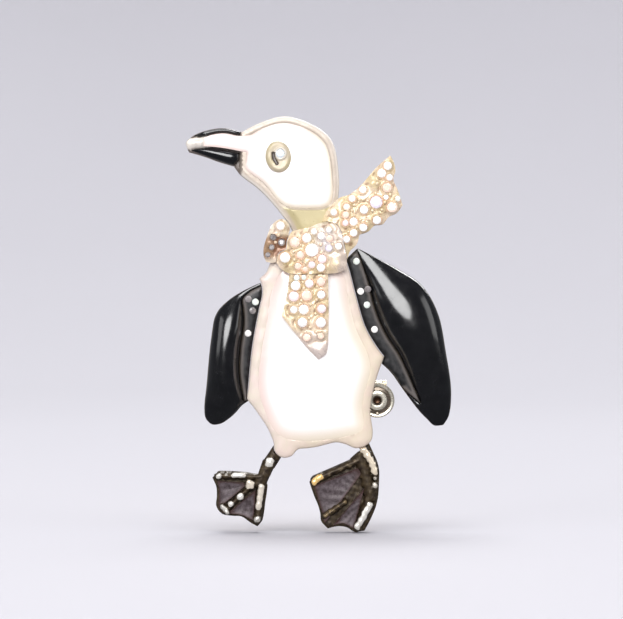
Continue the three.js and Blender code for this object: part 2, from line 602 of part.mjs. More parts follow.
// A round pad behind the body's edge, with a lip and a ring on its front, a post and a slotted barrel.
function catchBody() {
  const { x, z, radius } = CATCH_PAD;
  const padFace = BACK + GAP;
  const padBack = padFace + CATCH_PAD.thickness;
  const round = (height, size, from, to) => prism(ellipse(x, height, size, size, 28), from, to);
  const pad = round(z, radius, padBack, padFace);
  const lip = round(z, radius, padFace + GAP, BACK - CATCH_PAD.lipFront)
    .subtract(round(z, radius - CATCH_PAD.lip, CUT_FROM, CUT_TO));
  const ring = round(CATCH_RING.z, CATCH_RING.radius, padFace + GAP, BACK - CATCH_RING.front)
    .subtract(round(CATCH_RING.z, CATCH_RING.bore, CUT_FROM, CUT_TO));
  const dimple = round(CATCH_RING.z, CATCH_RING.bore, padFace + CATCH_PAD.thickness / 2, CUT_TO);
  const front = lip.add(ring).subtract(bodyCut);
  const { halfWidth, halfHeight } = CATCH_POST;
  const post = box([CATCH_X - halfWidth, padBack - GAP, -halfHeight],
    [CATCH_X + halfWidth, -BARREL.bore, halfHeight]);
  const barrel = cylinder(BARREL.radius, 2 * BARREL.halfLength, "x", [CATCH_X, 0, 0]);
  const bore = cylinder(BARREL.bore, 4 * BARREL.halfLength, "x", [CATCH_X, 0, 0]);
  const slot = slotAlong(CATCH_X, BARREL.slot);
  return pad.subtract(dimple).add(front).add(post).add(barrel).subtract(bore).subtract(slot);
}

// The space that lets the wire into a tube along X from behind.
function slotAlong(x, halfHeight) {
  const reach = 3;
  return box([x - reach, 0, -halfHeight], [x + reach, reach, halfHeight]);
}

// A slotted tube in the barrel, with a flange and a thumb lever outside it.
function catchSleeve() {
  const start = CATCH_X - BARREL.halfLength - SLEEVE.overhang;
  const flangeStart = CATCH_X + BARREL.halfLength + GAP;
  const flangeEnd = flangeStart + FLANGE_THICKNESS;
  const middle = (start + flangeEnd) / 2;
  const flangeMiddle = (flangeStart + flangeEnd) / 2;
  const tube = cylinder(SLEEVE.radius, flangeEnd - start, "x", [middle, 0, 0]);
  const flange = cylinder(BARREL.radius, FLANGE_THICKNESS, "x", [flangeMiddle, 0, 0]);
  const lever = box([flangeStart, -LEVER.halfWidth, LEVER.to], [flangeEnd, LEVER.halfWidth, LEVER.from]);
  const thumb = cylinder(LEVER.thumb, FLANGE_THICKNESS, "x", [flangeMiddle, 0, LEVER.to]);
  const bore = cylinder(SLEEVE.bore, 4 * (flangeEnd - start), "x", [middle, 0, 0]);
  const solid = tube.add(flange).add(lever).add(thumb);
  return solid.subtract(bore).subtract(slotAlong(middle, SLEEVE.slot));
}

// ---- Assembly ----

const group = new THREE.Group();

function add(name, solid, material) {
  const mesh = new THREE.Mesh(geometryOf(solid), material);
  mesh.name = name;
  group.add(mesh);
}

add("head_casting", headCasting(), gilt());
add("head_enamel", headEnamel(), whiteEnamel());
add("upper_beak_enamel", beakEnamel(upperBeak, upperBeakSpine, UPPER_BEAK_CROWN), blackEnamel());
add("lower_beak_enamel", beakEnamel(lowerBeak, lowerBeakSpine, LOWER_BEAK_CROWN), blackEnamel());
add("eye_bezel", eyeBezel(), gilt());
add("eye_crystal", eyeCrystal(), crystal());

add("body_casting", bodyCasting(), gilt());
add("belly_enamel", bellyEnamel(), whiteEnamel());

add("left_wing_casting", wingCasting(leftWing, leftWingSpine), darkGilt());
add("left_wing_enamel", wingEnamel(leftWing, leftBand, leftWingSpine), blackEnamel());
add("left_wing_band", wingBand(leftBand, leftWing), blackEnamel());
add("right_wing_casting", wingCasting(rightWing, rightWingSpine), darkGilt());
add("right_wing_enamel", wingEnamel(rightWing, rightBand, rightWingSpine), blackEnamel());
add("right_wing_band", wingBand(rightBand, rightWing), blackEnamel());

const wingCrystals = {
  left: [[-9.75, 13.0], [-8.75, 12.6], [-9.15, 11.4], [-9.8, 8.2]],
  right: [[6.0, 14.1], [7.0, 14.4], [6.9, 12.2], [7.95, 8.75], [5.4, 18.3]],
};
for (const [side, places] of Object.entries(wingCrystals)) {
  places.forEach(([x, z], i) => {
    const from = WING_FACE - GAP - BAND_THICKNESS;
    const stone = roundStone(x, z, WING_CRYSTAL_RADIUS, from, WING_CRYSTAL_HEIGHT, 2 * STONE_SIDES);
    add(`${side}_wing_crystal_${i + 1}`, stone, crystal());
  });
}

add("left_foot_casting", footCasting(leftFoot), darkGilt());
add("right_foot_casting", footCasting(rightFoot), darkGilt());
for (const foot of [leftFoot, rightFoot]) {
  for (const [name, loop] of Object.entries(foot.webs)) {
    add(name, footWeb(foot, loop), webEnamel());
  }
}

const collar = plate(collarLine, collarSpine, SCARF_BACK, COLLAR_FACE);
const shoulder = plate(shoulderLine, shoulderSpine, SCARF_BACK, FLYING_TAIL_FACE);
const frontTail = plate(frontTailLine, frontTailSpine, CELL_FLOOR - GAP / 2, FRONT_TAIL_FACE);
const flyingTail = plate(flyingTailLine, flyingTailSpine, SCARF_BACK, FLYING_TAIL_FACE);
const shoulderPave = pave(shoulderLine, shoulderSpine, FLYING_TAIL_FACE, shoulderStones);
const frontPave = pave(frontTailLine, frontTailSpine, FRONT_TAIL_FACE, frontTailStones);
const flyingPave = pave(flyingTailLine, flyingTailSpine, FLYING_TAIL_FACE, flyingTailStones);
add("scarf_collar", collar, gilt());
add("scarf_collar_pave", pave(collarLine, collarSpine, COLLAR_FACE, collarStones), crystal());
add("scarf_shoulder_fold", shoulder.subtract(collarCut), gilt());
add("scarf_shoulder_pave", shoulderPave.subtract(collarCut), crystal());
add("scarf_front_tail", frontTail.subtract(collarCut), gilt());
add("scarf_front_pave", frontPave.subtract(collarCut), crystal());
add("scarf_flying_tail", flyingTail.subtract(collarCut), gilt());
add("scarf_flying_pave", flyingPave.subtract(collarCut), crystal());

add("hinge_bracket", hingeBracket(), steel());
add("hinge_rivet", hingeRivet(), steel());
add("pin_stem", pinStem(), steel());
add("catch_body", catchBody(), steel());
add("catch_sleeve", catchSleeve(), steel());

export default group;
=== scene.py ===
"""The looks of the enamelled penguin brooch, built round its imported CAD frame.

Shapes are worked out in millimetres: X to the right, Z up, and a height measured from the pin towards
the viewer, which is minus Y. Only add_piece() turns them into metres.
"""

import math
import random

import bmesh
import bpy
import numpy as np
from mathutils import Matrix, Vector
from mathutils.geometry import delaunay_2d_cdt


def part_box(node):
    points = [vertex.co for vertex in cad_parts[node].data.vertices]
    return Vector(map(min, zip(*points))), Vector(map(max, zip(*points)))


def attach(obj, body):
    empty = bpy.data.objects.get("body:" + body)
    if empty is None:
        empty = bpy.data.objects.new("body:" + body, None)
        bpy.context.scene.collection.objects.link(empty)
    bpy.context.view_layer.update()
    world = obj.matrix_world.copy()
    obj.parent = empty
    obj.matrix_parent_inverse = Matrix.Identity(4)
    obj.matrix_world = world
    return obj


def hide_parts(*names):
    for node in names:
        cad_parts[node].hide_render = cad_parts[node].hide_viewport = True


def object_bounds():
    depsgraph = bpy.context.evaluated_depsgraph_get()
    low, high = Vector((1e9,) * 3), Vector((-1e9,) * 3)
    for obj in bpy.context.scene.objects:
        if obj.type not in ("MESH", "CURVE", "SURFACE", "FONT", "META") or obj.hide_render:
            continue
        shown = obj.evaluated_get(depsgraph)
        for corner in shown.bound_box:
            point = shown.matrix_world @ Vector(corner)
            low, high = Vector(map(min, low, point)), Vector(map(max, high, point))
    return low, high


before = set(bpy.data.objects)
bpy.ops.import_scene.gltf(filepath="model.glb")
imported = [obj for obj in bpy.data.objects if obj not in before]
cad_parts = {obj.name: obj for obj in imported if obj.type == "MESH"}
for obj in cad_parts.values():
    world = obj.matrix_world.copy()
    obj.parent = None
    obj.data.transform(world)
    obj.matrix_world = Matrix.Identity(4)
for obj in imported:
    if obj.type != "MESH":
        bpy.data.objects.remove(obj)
CAD_LOW, CAD_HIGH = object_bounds()

MM = 0.001
SEED = 11
EDGE_STEP = 0.2
RING_STEP = 0.25
CORNER_ANGLE = math.radians(52)
SHARP_ANGLE = math.radians(38)
FILLET_INSETS = (0.05, 0.13, 0.25)
FILLET = 0.34
BACK_EDGE = 0.25
CELL_DROP = 0.3
STONE_TABLE_SHARE = 0.6

random.seed(SEED)


# ---- Reading the frame ----

def span(node):
    """Lowest and highest corner of a CAD node, in millimetres."""
    low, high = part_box(node)
    return np.array(low) / MM, np.array(high) / MM


def height_range(node):
    """How far a CAD node's back and front stand from the pin, towards the viewer."""
    low, high = span(node)
    return -high[1], -low[1]


def disc(node):
    """Centre and radius of a round CAD node, seen from the front."""
    low, high = span(node)
    return (low[0] + high[0]) / 2, (low[2] + high[2]) / 2, (high[0] - low[0]) / 2


def flat_faces(node, facing, height):
    """Corners, in the X-Z plane, of a CAD node's flat faces at a height, facing back (1) or front (-1)."""
    square_on, same_level = 0.999, 0.02
    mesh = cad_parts[node].data
    found = []
    for face in mesh.polygons:
        corners = [mesh.vertices[i].co / MM for i in face.vertices]
        if face.normal.y * facing > square_on and abs(-corners[0].y - height) < same_level:
            found.append([(round(c.x, 3), round(c.z, 3)) for c in corners])
    return found


def loops_of(faces):
    """The closed lines round a set of faces, the longest first."""
    edges = dict.fromkeys(pair for face in faces for pair in zip(face, face[1:] + face[:1]))
    rim = {a: b for a, b in edges if (b, a) not in edges}
    loops = []
    while rim:
        start, here = rim.popitem()
        loop = [start]
        while here != start and here in rim:
            loop.append(here)
            here = rim.pop(here)
        if len(loop) > 2:
            loops.append(np.array(loop))
    return sorted(loops, key=lambda line: -np.linalg.norm(line - np.roll(line, 1, 0), axis=1).sum())


def outline(node, facing=1, height=None):
    """The outer line of a CAD node's flat back, or of its flat faces at a height, made fine and smooth."""
    level = height_range(node)[0] if height is None else height
    return smooth(loops_of(flat_faces(node, facing, level))[0])


def stones_of(node):
    """Centre and radius of each stone of a CAD node, from the small tables that face the front."""
    faces = flat_faces(node, -1, height_range(node)[1])
    groups = []
    for face in faces:
        near = [g for g in groups if any(corner in g for corner in face)]
        merged = set(face).union(*near)
        groups = [g for g in groups if g not in near] + [merged]
    stones = []
    for group in groups:
        corners = np.array(sorted(group))
        centre = (corners.min(0) + corners.max(0)) / 2
        radius = np.linalg.norm(corners - centre, axis=1).max() / STONE_TABLE_SHARE
        stones.append((centre[0], centre[1], radius))
    return sorted(stones)


# ---- Lines and fields in the X-Z plane ----

def smooth(loop):
    """A closed curve through the loop's points that keeps its corners, counter-clockwise."""
    shortest_edge = 0.12
    kept = [loop[0]]
    for point in loop[1:]:
        if np.linalg.norm(point - kept[-1]) > shortest_edge:
            kept.append(point)
    loop = np.array(kept)
    after = np.roll(loop, -1, 0)
    if (loop[:, 0] * after[:, 1] - after[:, 0] * loop[:, 1]).sum() < 0:
        loop = loop[::-1]
    ahead = np.roll(loop, -1, 0) - loop
    behind = loop - np.roll(loop, 1, 0)
    turn = np.arctan2(behind[:, 0] * ahead[:, 1] - behind[:, 1] * ahead[:, 0], (behind * ahead).sum(1))
    corner = np.abs(turn) > CORNER_ANGLE
    points = []
    count = len(loop)
    for i in range(count):
        a, b = loop[i], loop[(i + 1) % count]
        before = 2 * a - b if corner[i] else loop[i - 1]
        beyond = 2 * b - a if corner[(i + 1) % count] else loop[(i + 2) % count]
        steps = max(1, round(np.linalg.norm(b - a) / EDGE_STEP))
        for t in np.arange(steps) / steps:
            points.append(0.5 * (2 * a + (b - before) * t + (2 * before - 5 * a + 4 * b - beyond) * t ** 2
                                 + (3 * a - before - 3 * b + beyond) * t ** 3))
    return np.array(points)


def resample(loop, step):
    """The same closed line with points a step apart."""
    closed = np.vstack([loop, loop[:1]])
    along = np.concatenate([[0], np.linalg.norm(np.diff(closed, axis=0), axis=1).cumsum()])
    count = max(8, round(along[-1] / step))
    places = np.arange(count) * along[-1] / count
    return np.stack([np.interp(places, along, closed[:, k]) for k in (0, 1)], 1)


def inside(points, loop):
    """True for the points that the closed line goes round."""
    a, b = loop, np.roll(loop, -1, 0)
    x, z = points[:, :1], points[:, 1:]
    with np.errstate(divide="ignore", invalid="ignore"):
        at = a[:, 0] + (z - a[:, 1]) * (b[:, 0] - a[:, 0]) / (b[:, 1] - a[:, 1])
    return (((a[:, 1] > z) != (b[:, 1] > z)) & (x < at)).sum(1) % 2 == 1


def batches(points):
    """The points in parts small enough to be held against a whole line at once."""
    most = 3000
    return np.array_split(points, max(1, len(points) // most))


def distance(points, line, closed=True):
    """How far each point is from a line."""
    a, b = (line, np.roll(line, -1, 0)) if closed else (line[:-1], line[1:])
    run = b - a
    squared = np.maximum((run ** 2).sum(1), 1e-12)
    found = []
    for part in batches(points):
        arm = part[:, None] - a
        share = np.clip((arm * run).sum(2) / squared, 0, 1)
        found.append(np.linalg.norm(arm - share[..., None] * run, axis=2).min(1))
    return np.concatenate(found)


def free_rim(loop, others):
    """The points of a line that are clear of the lines of the pieces it joins."""
    gap = 0.3
    rim = resample(loop, EDGE_STEP / 2)
    clear = np.ones(len(rim), bool)
    for other in others:
        clear &= ~inside(rim, other) & (distance(rim, other) > gap)
    return rim[clear]


def nearest(points, places):
    """How far each point is from the nearest of some places."""
    return np.concatenate([np.linalg.norm(part[:, None] - places, axis=2).min(1) for part in batches(points)])


def ramp(value, low, high):
    """0 at low, 1 at high, smooth between them."""
    share = np.clip((value - low) / (high - low), 0, 1)
    return share * share * (3 - 2 * share)


def round_edge(gap, radius):
    """How far a rounded edge lies below the flat, by the distance from the edge."""
    near = np.clip(1 - gap / radius, 0, 1)
    return radius * (1 - np.sqrt(1 - near * near))


def waves(points, size, seed, layers=5):
    """A smooth random field, about -1 to 1, with lumps of a size."""
    source = np.random.default_rng(seed)
    total = np.zeros(len(points))
    for _ in range(layers):
        angle, phase = source.uniform(0, 2 * math.pi, 2)
        pace = 2 * math.pi / (size * source.uniform(0.7, 1.5))
        total += np.sin(pace * (points[:, 0] * math.cos(angle) + points[:, 1] * math.sin(angle)) + phase)
    return total / math.sqrt(layers)


# ---- Surfaces ----

def triangulate(loop, spacing, insets=(), extra=None):
    """Points and triangles that fill a line: rings along its edge, then an even net, and extra points."""
    rim = resample(loop, min(spacing, EDGE_STEP))
    along = np.roll(rim, -1, 0) - np.roll(rim, 1, 0)
    inward = np.stack([-along[:, 1], along[:, 0]], 1) / np.linalg.norm(along, axis=1)[:, None]
    layers = [rim]
    for inset in insets:
        ring = rim + inward * inset
        layers.append(ring[inside(ring, rim) & (distance(ring, rim) > 0.9 * inset)])
    low, high = rim.min(0), rim.max(0)
    rows = np.arange(low[1], high[1], spacing * math.sqrt(0.75))
    columns = np.arange(low[0], high[0], spacing)
    net = np.array([(x + spacing / 2 * (i % 2), z) for i, z in enumerate(rows) for x in columns])
    clear = (insets[-1] if insets else 0) + 0.6 * spacing
    layers.append(net[inside(net, rim) & (distance(net, rim) > clear)])
    if extra is not None:
        layers.append(extra[inside(extra, rim) & (distance(extra, rim) > 0.08)])
    points = [Vector(p) for p in np.concatenate(layers)]
    found = delaunay_2d_cdt(points, [], [list(range(len(rim)))], 1, 1e-5)
    return np.array([v[:] for v in found[0]]), np.array(found[2])


def rim_edges(faces):
    """The directed edges that only one triangle has."""
    edges = np.concatenate([faces[:, [0, 1]], faces[:, [1, 2]], faces[:, [2, 0]]])
    pairs = {(a, b) for a, b in edges.tolist()}
    return [(a, b) for a, b in edges.tolist() if (b, a) not in pairs]


def membrane(points, faces):
    """The shape of a film held down along the rim and blown up by an even pressure, 0 to 1."""
    count = len(points)
    starts, ends, weights = [], [], []
    mass = np.zeros(count)
    for k in range(3):
        i, j, tip = faces[:, k], faces[:, (k + 1) % 3], faces[:, (k + 2) % 3]
        u, v = points[i] - points[tip], points[j] - points[tip]
        cross = np.abs(u[:, 0] * v[:, 1] - u[:, 1] * v[:, 0])
        starts.append(i)
        ends.append(j)
        weights.append(np.clip((u * v).sum(1) / np.maximum(cross, 1e-9), 0.02, 20) / 2)
        mass += np.bincount(tip, cross / 6, count)
    start, end, weight = np.concatenate(starts), np.concatenate(ends), np.concatenate(weights)
    free = np.ones(count)
    free[[a for a, _ in rim_edges(faces)]] = 0

    def pull(film):
        flow = weight * (film[start] - film[end])
        return (np.bincount(start, flow, count) - np.bincount(end, flow, count)) * free

    film = np.zeros(count)
    rest = mass * free
    step = rest.copy()
    size = rest @ rest
    goal = size * 1e-10
    most_steps = 1500
    for _ in range(most_steps):
        pulled = pull(step)
        share = size / (step @ pulled)
        film += share * step
        rest -= share * pulled
        fresh = rest @ rest
        if fresh < goal:
            break
        step = rest + fresh / size * step
        size = fresh
    return np.clip(film / film.max(), 0, 1)


def slab(points, faces, front, back):
    """Vertices and faces of a closed piece between two heights over the same net."""
    count = len(points)
    sides = [np.stack([points[:, 0], np.broadcast_to(-height, count), points[:, 1]], 1)
             for height in (front, back)]
    walls = [(a, a + count, b + count, b) for a, b in rim_edges(faces)]
    return np.concatenate(sides), faces.tolist() + (faces[:, ::-1] + count).tolist() + walls


def lathe(profile, centre, axis, steps=48):
    """A closed turned piece. The profile is (radius, place along the axis), from axis to axis or closed."""
    hollow = profile[0][0] > 0
    rings = [[] for _ in profile]
    vertices, faces = [], []
    for row, (radius, place) in enumerate(profile):
        for k in range(steps if radius > 0 else 1):
            angle = 2 * math.pi * k / steps
            a, b = radius * math.cos(angle), radius * math.sin(angle)
            offset = {"x": (place, a, b), "y": (b, place, a), "z": (a, b, place)}[axis]
            rings[row].append(len(vertices))
            vertices.append(np.add(centre, offset))
    for lower, upper in zip(rings, rings[1:] + rings[:1] if hollow else rings[1:]):
        for k in range(steps):
            corners = [lower[k % len(lower)], lower[(k + 1) % len(lower)],
                       upper[(k + 1) % len(upper)], upper[k % len(upper)]]
            faces.append(list(dict.fromkeys(corners)))
    return np.array(vertices), faces


def extrude(loop, low, high, axis):
    """A closed bar: a loop in the plane across an axis, carried from low to high along it."""
    count = len(loop)
    order = {"x": (2, 0, 1), "y": (0, 2, 1), "z": (0, 1, 2)}[axis]
    vertices = [[(u, v, place)[k] for k in order] for place in (low, high) for u, v in loop]
    walls = [(i, (i + 1) % count, (i + 1) % count + count, i + count) for i in range(count)]
    return np.array(vertices), [list(range(count))[::-1], list(range(count, 2 * count)), *walls]


def joined(*parts):
    """Several closed pieces as one set of vertices and faces."""
    vertices, faces, offset = [], [], 0
    for points, polygons in parts:
        vertices.append(points)
        faces += [[i + offset for i in polygon] for polygon in polygons]
        offset += len(points)
    return np.concatenate(vertices), faces


def add_piece(name, shape, finish, *nodes, body="brooch", fields=None, flat=False, bevel=0.0):
    """Makes a piece that stands for CAD nodes and rides on their body. A finish is a material and its slot;
    the slot is not used.
    Fields are a number for the whole piece, or one for each of its first vertices, which are the front of a
    slab. The field "back" is 1 where the piece looks to the back."""
    vertices, faces = shape
    material, slot = finish
    mesh = bpy.data.meshes.new(name)
    mesh.from_pydata((np.asarray(vertices) * MM).tolist(), [], faces)
    closed = bmesh.new()
    closed.from_mesh(mesh)
    bmesh.ops.recalc_face_normals(closed, faces=closed.faces)
    closed.to_mesh(mesh)
    closed.free()
    count = len(mesh.vertices)
    normals = np.empty(3 * count, np.float32)
    mesh.vertex_normals.foreach_get("vector", normals)
    for field, values in {**(fields or {}), "back": ramp(normals[1::3], 0.1, 0.5)}.items():
        full = np.zeros(count, np.float32)
        full[:np.size(values) if np.ndim(values) else count] = values
        mesh.attributes.new(field, "FLOAT", "POINT").data.foreach_set("value", full)
    piece = bpy.data.objects.new(name, mesh)
    bpy.context.scene.collection.objects.link(piece)
    mesh.materials.append(material)
    if flat:
        mesh.shade_flat()
    else:
        mesh.shade_smooth()
        mesh.set_sharp_from_angle(angle=SHARP_ANGLE)
    if bevel:
        modifier = piece.modifiers.new("edge", "BEVEL")
        modifier.width = bevel * MM
        modifier.segments = 2
        modifier.limit_method = "ANGLE"
    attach(piece, body)
    if nodes:
        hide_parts(*nodes)
    return piece


# ---- Materials ----

class Paint:
    """A Principled material, with short calls for the nodes that feed it. Sizes are in millimetres."""

    def __init__(self, name, **values):
        self.material = bpy.data.materials.new(name)
        self.material.use_nodes = True
        self.tree = self.material.node_tree
        self.shader = self.tree.nodes["Principled BSDF"]
        for socket, value in values.items():
            self.shader.inputs[socket.replace("_", " ")].default_value = value
        place = self.node("ShaderNodeTexCoord").outputs["Object"]
        scaled = self.node("ShaderNodeVectorMath", {0: place, "Scale": 1 / MM}, operation="SCALE")
        self.place = scaled.outputs[0]

    def node(self, kind, inputs=None, **settings):
        """Adds a node. Each input is a number, a vector, a colour or another node's output."""
        made = self.tree.nodes.new(kind)
        for key, value in settings.items():
            setattr(made, key, value)
        for key, value in (inputs or {}).items():
            socket = made.inputs[key]
            if isinstance(value, bpy.types.NodeSocket):
                self.link(value, socket)
            else:
                socket.default_value = (*value, 1) if socket.type == "RGBA" else value
        return made

    def link(self, source, target):
        self.tree.links.new(source, target)

    def noise(self, size, detail=4.0, roughness=0.55, stretch=None):
        """Cloudy noise with lumps of a size."""
        place = self.place
        if stretch:
            place = self.node("ShaderNodeMapping", {"Vector": place, "Scale": stretch}).outputs[0]
        inputs = {"Vector": place, "Scale": 1 / size, "Detail": detail, "Roughness": roughness}
        return self.node("ShaderNodeTexNoise", inputs).outputs["Fac"]

    def cells(self, size):
        """How far a place is from the nearest of scattered points, in their spacing."""
        made = self.node("ShaderNodeTexVoronoi", {"Vector": self.place, "Scale": 1 / size})
        return made.outputs["Distance"]

    def field(self, name):
        return self.node("ShaderNodeAttribute", attribute_name=name).outputs["Fac"]

    def spread(self, source, low, high, to_low=0.0, to_high=1.0):
        """Maps a range of a value to another range."""
        inputs = {"Value": source, "From Min": low, "From Max": high, "To Min": to_low, "To Max": to_high}
        return self.node("ShaderNodeMapRange", inputs).outputs["Result"]

    def blend(self, factor, first, second):
        """A colour between two, each a colour or another node's output."""
        made = self.node("ShaderNodeMix", {"Factor": factor, 6: first, 7: second}, data_type="RGBA")
        return made.outputs[2]

    def colour(self, source):
        self.link(source, self.shader.inputs["Base Color"])

    def rough(self, source):
        self.link(source, self.shader.inputs["Roughness"])

    def bare_behind(self, colour, metallic, clean, stained):
        """Sets the colour and how metallic it is: as given in front, and bare stained metal behind."""
        behind = self.field("back")
        old = self.blend(self.spread(self.noise(1.3, 5.0, 0.6), 0.42, 0.68), clean, stained)
        self.colour(self.blend(behind, colour, old))
        self.link(self.spread(behind, 0.0, 1.0, metallic, 0.85), self.shader.inputs["Metallic"])

    def bump(self, *layers):
        """Layers are (height source, depth in millimetres)."""
        below = {}
        for source, depth in layers:
            inputs = {"Height": source, "Strength": 1.0, "Distance": depth * MM, **below}
            below = {"Normal": self.node("ShaderNodeBump", inputs).outputs["Normal"]}
        self.link(below["Normal"], self.shader.inputs["Normal"])
        return self.material


def gilt_metal(name, pale, deep, metallic, gloss, dark_and_shade=(0.16, 0.07, 0.03), warm=(0.50, 0.40, 0.17)):
    """Worn gilding in clouds of two tones, with other tones where fields say: some the metal's own, some
    painted highlight and painted shade.
    """
    paint = Paint(name)
    tones = {"warm": warm, "seat": (0.88, 0.54, 0.38), "cool": (0.64, 0.63, 0.66), "worn": (0.52, 0.44, 0.40),
             "wear_and_highlight": (0.72, 0.67, 0.60), "dark_and_shade": dark_and_shade}
    colour = paint.blend(paint.spread(paint.noise(1.6), 0.35, 0.65), pale, deep)
    for field, tone in tones.items():
        colour = paint.blend(paint.field(field), colour, tone)
    paint.bare_behind(colour, metallic, (0.76, 0.62, 0.41), (0.50, 0.38, 0.23))
    paint.rough(paint.spread(paint.noise(0.5), 0.3, 0.7, *gloss))
    return paint.bump((paint.noise(0.9, 3.0), 0.008), (paint.noise(0.12, 3.0), 0.002))


def white_enamel():
    """Thick glossy white turning beige along the rim, partly thin enamel and partly painted shade: pinker on
    one side, creamier on the other.
    """
    paint = Paint("white_enamel", Roughness=0.16, IOR=1.5, Coat_Weight=0.6, Coat_Roughness=0.05)
    body = paint.blend(paint.spread(paint.noise(3.0), 0.3, 0.7), (0.90, 0.88, 0.87), (0.88, 0.84, 0.82))
    thin_and_shaded = paint.blend(paint.field("cream"), (0.68, 0.55, 0.50), (0.68, 0.60, 0.48))
    # The beige at the edge is partly the tone of thin enamel and partly painted shade where the dome slopes
    # away.
    paint.colour(paint.blend(paint.field("edge"), thin_and_shaded, body))
    return paint.bump((paint.noise(2.2, 2.0), 0.020), (paint.noise(0.35, 2.0), 0.0015))


def black_enamel():
    """Deep black with a hard gloss, a slight orange peel and fine dust."""
    paint = Paint("black_enamel", IOR=1.4, Coat_Weight=1.0, Coat_Roughness=0.15)
    dust = paint.spread(paint.cells(0.55), 0.045, 0.0)
    cloud = paint.spread(paint.noise(2.0), 0.35, 0.7)
    deep = paint.blend(cloud, (0.001, 0.001, 0.002), (0.004, 0.004, 0.005))
    paint.colour(paint.blend(dust, deep, (0.10, 0.10, 0.11)))
    paint.rough(paint.spread(paint.noise(1.6), 0.3, 0.7, 0.08, 0.30))
    return paint.bump((paint.noise(3.2, 2.0), 0.060), (paint.noise(0.5, 2.0), 0.002))


def satin_black():
    """The black of the inner bands: dull, mottled, and a lighter grey brown along the ridge beside the wing,
    a painted sheen.
    """
    paint = Paint("satin_black_enamel", IOR=1.45)
    mottle = paint.noise(0.7, 5.0, 0.6)
    base = paint.blend(paint.spread(mottle, 0.4, 0.75), (0.006, 0.006, 0.007), (0.030, 0.028, 0.029))
    # The lighter grey brown along the ridge is a painted sheen.
    paint.colour(paint.blend(paint.field("high"), base, (0.110, 0.096, 0.088)))
    paint.rough(paint.spread(mottle, 0.3, 0.7, 0.28, 0.50))
    return paint.bump((mottle, 0.010))


def antique_metal():
    """Cast metal with a dark brown patina, bright where a field says: on the feet painted highlights, and the
    dark there also painted shade.
    """
    paint = Paint("antique_metal")
    grime = paint.noise(0.7, 5.0, 0.6)
    low = paint.blend(paint.spread(grime, 0.35, 0.7), (0.022, 0.012, 0.007), (0.085, 0.060, 0.030))
    # The bright tone, golden where a field says, is a painted highlight on the feet; the wing plates stay
    # dark.
    high = paint.blend(paint.field("gold_highlight"), (0.78, 0.75, 0.69), (0.92, 0.62, 0.25))
    uneven = paint.spread(grime, 0.3, 0.7, -0.15, 0.15)
    mixed = paint.node("ShaderNodeMath", {0: paint.field("high"), 1: uneven}, operation="ADD")
    share = paint.spread(mixed.outputs[0], 0.20, 0.75)
    paint.bare_behind(paint.blend(share, low, high), 0.4, (0.46, 0.36, 0.22), (0.22, 0.16, 0.10))
    paint.rough(paint.spread(share, 0.0, 1.0, 0.44, 0.24))
    return paint.bump((paint.noise(0.35, 4.0), 0.018), (paint.noise(0.09, 2.0), 0.003))


def web_enamel():
    """The thin grey coat of the webs, whose mauve cast is a painted reflection, grained, and dirty along the
    toes.
    """
    paint = Paint("web_enamel", IOR=1.45, Metallic=0.2)
    grain = paint.noise(0.45, 6.0, 0.65)
    # The mauve in this grey is a painted reflection.
    base = paint.blend(paint.spread(grain, 0.35, 0.7), (0.045, 0.032, 0.033), (0.130, 0.103, 0.112))
    paint.colour(paint.blend(paint.field("dark_and_shade"), base, (0.045, 0.014, 0.010)))
    paint.rough(paint.spread(grain, 0.3, 0.7, 0.34, 0.55))
    return paint.bump((grain, 0.025))


def foiled_crystal():
    """Foil-backed glass: bright in its own tint under a clear coat."""
    paint = Paint("foiled_crystal", Metallic=0.1, IOR=1.6, Coat_Weight=1.0, Coat_Roughness=0.02)
    tint = paint.node("ShaderNodeAttribute", attribute_name="tint").outputs["Color"]
    cloud = paint.spread(paint.noise(0.9, 2.0), 0.3, 0.7, 0.0, 0.25)
    paint.colour(paint.blend(cloud, tint, (1.0, 0.95, 0.92)))
    paint.rough(paint.spread(paint.noise(0.4, 2.0), 0.3, 0.7, 0.06, 0.14))
    return paint.bump((paint.noise(0.5, 1.0), 0.002))


def nickel(name, colour):
    """Plated findings: fine drawing marks, a little tarnish, and brown in the deep places as painted shade.
    """
    paint = Paint(name, Metallic=0.65)
    tarnish = paint.spread(paint.noise(0.8, 5.0), 0.4, 0.75)
    plating = paint.blend(tarnish, colour, tuple(c * 0.62 for c in colour))
    paint.colour(paint.blend(paint.field("dark_and_shade"), plating, (0.060, 0.026, 0.010)))
    lines = paint.noise(0.08, 3.0, stretch=(0.06, 1.0, 1.0))
    paint.rough(paint.spread(lines, 0.3, 0.7, 0.18, 0.34))
    return paint.bump((lines, 0.003))


# Each finish is a material and its slot.
GILT = gilt_metal("tan_gilt", (0.48, 0.41, 0.34), (0.44, 0.37, 0.30), 0.12, (0.26, 0.42),
                  dark_and_shade=(0.10, 0.08, 0.07), warm=(0.42, 0.36, 0.19)), "gilt_metal"
CREAM_GILT = gilt_metal("cream_gilt", (0.64, 0.53, 0.48), (0.61, 0.54, 0.45), 0.08,
                        (0.28, 0.44)), "gilt_metal"
SCARF_GILT = gilt_metal("scarf_gilt", (0.77, 0.62, 0.47), (0.68, 0.54, 0.35), 0.22, (0.20, 0.38),
                        dark_and_shade=(0.24, 0.12, 0.07)), "gilt_metal"
WHITE = white_enamel(), "white_enamel"
BLACK = black_enamel(), "black_enamel"
SATIN = satin_black(), "black_enamel"
ANTIQUE = antique_metal(), "antique_metal"
WEB = web_enamel(), "web_enamel"
CRYSTAL = foiled_crystal(), "crystal"
STEEL = nickel("nickel_plate", (0.80, 0.75, 0.63)), "steel"
BRASS = nickel("gilt_findings", (0.80, 0.68, 0.46)), "steel"


# ---- Stones ----

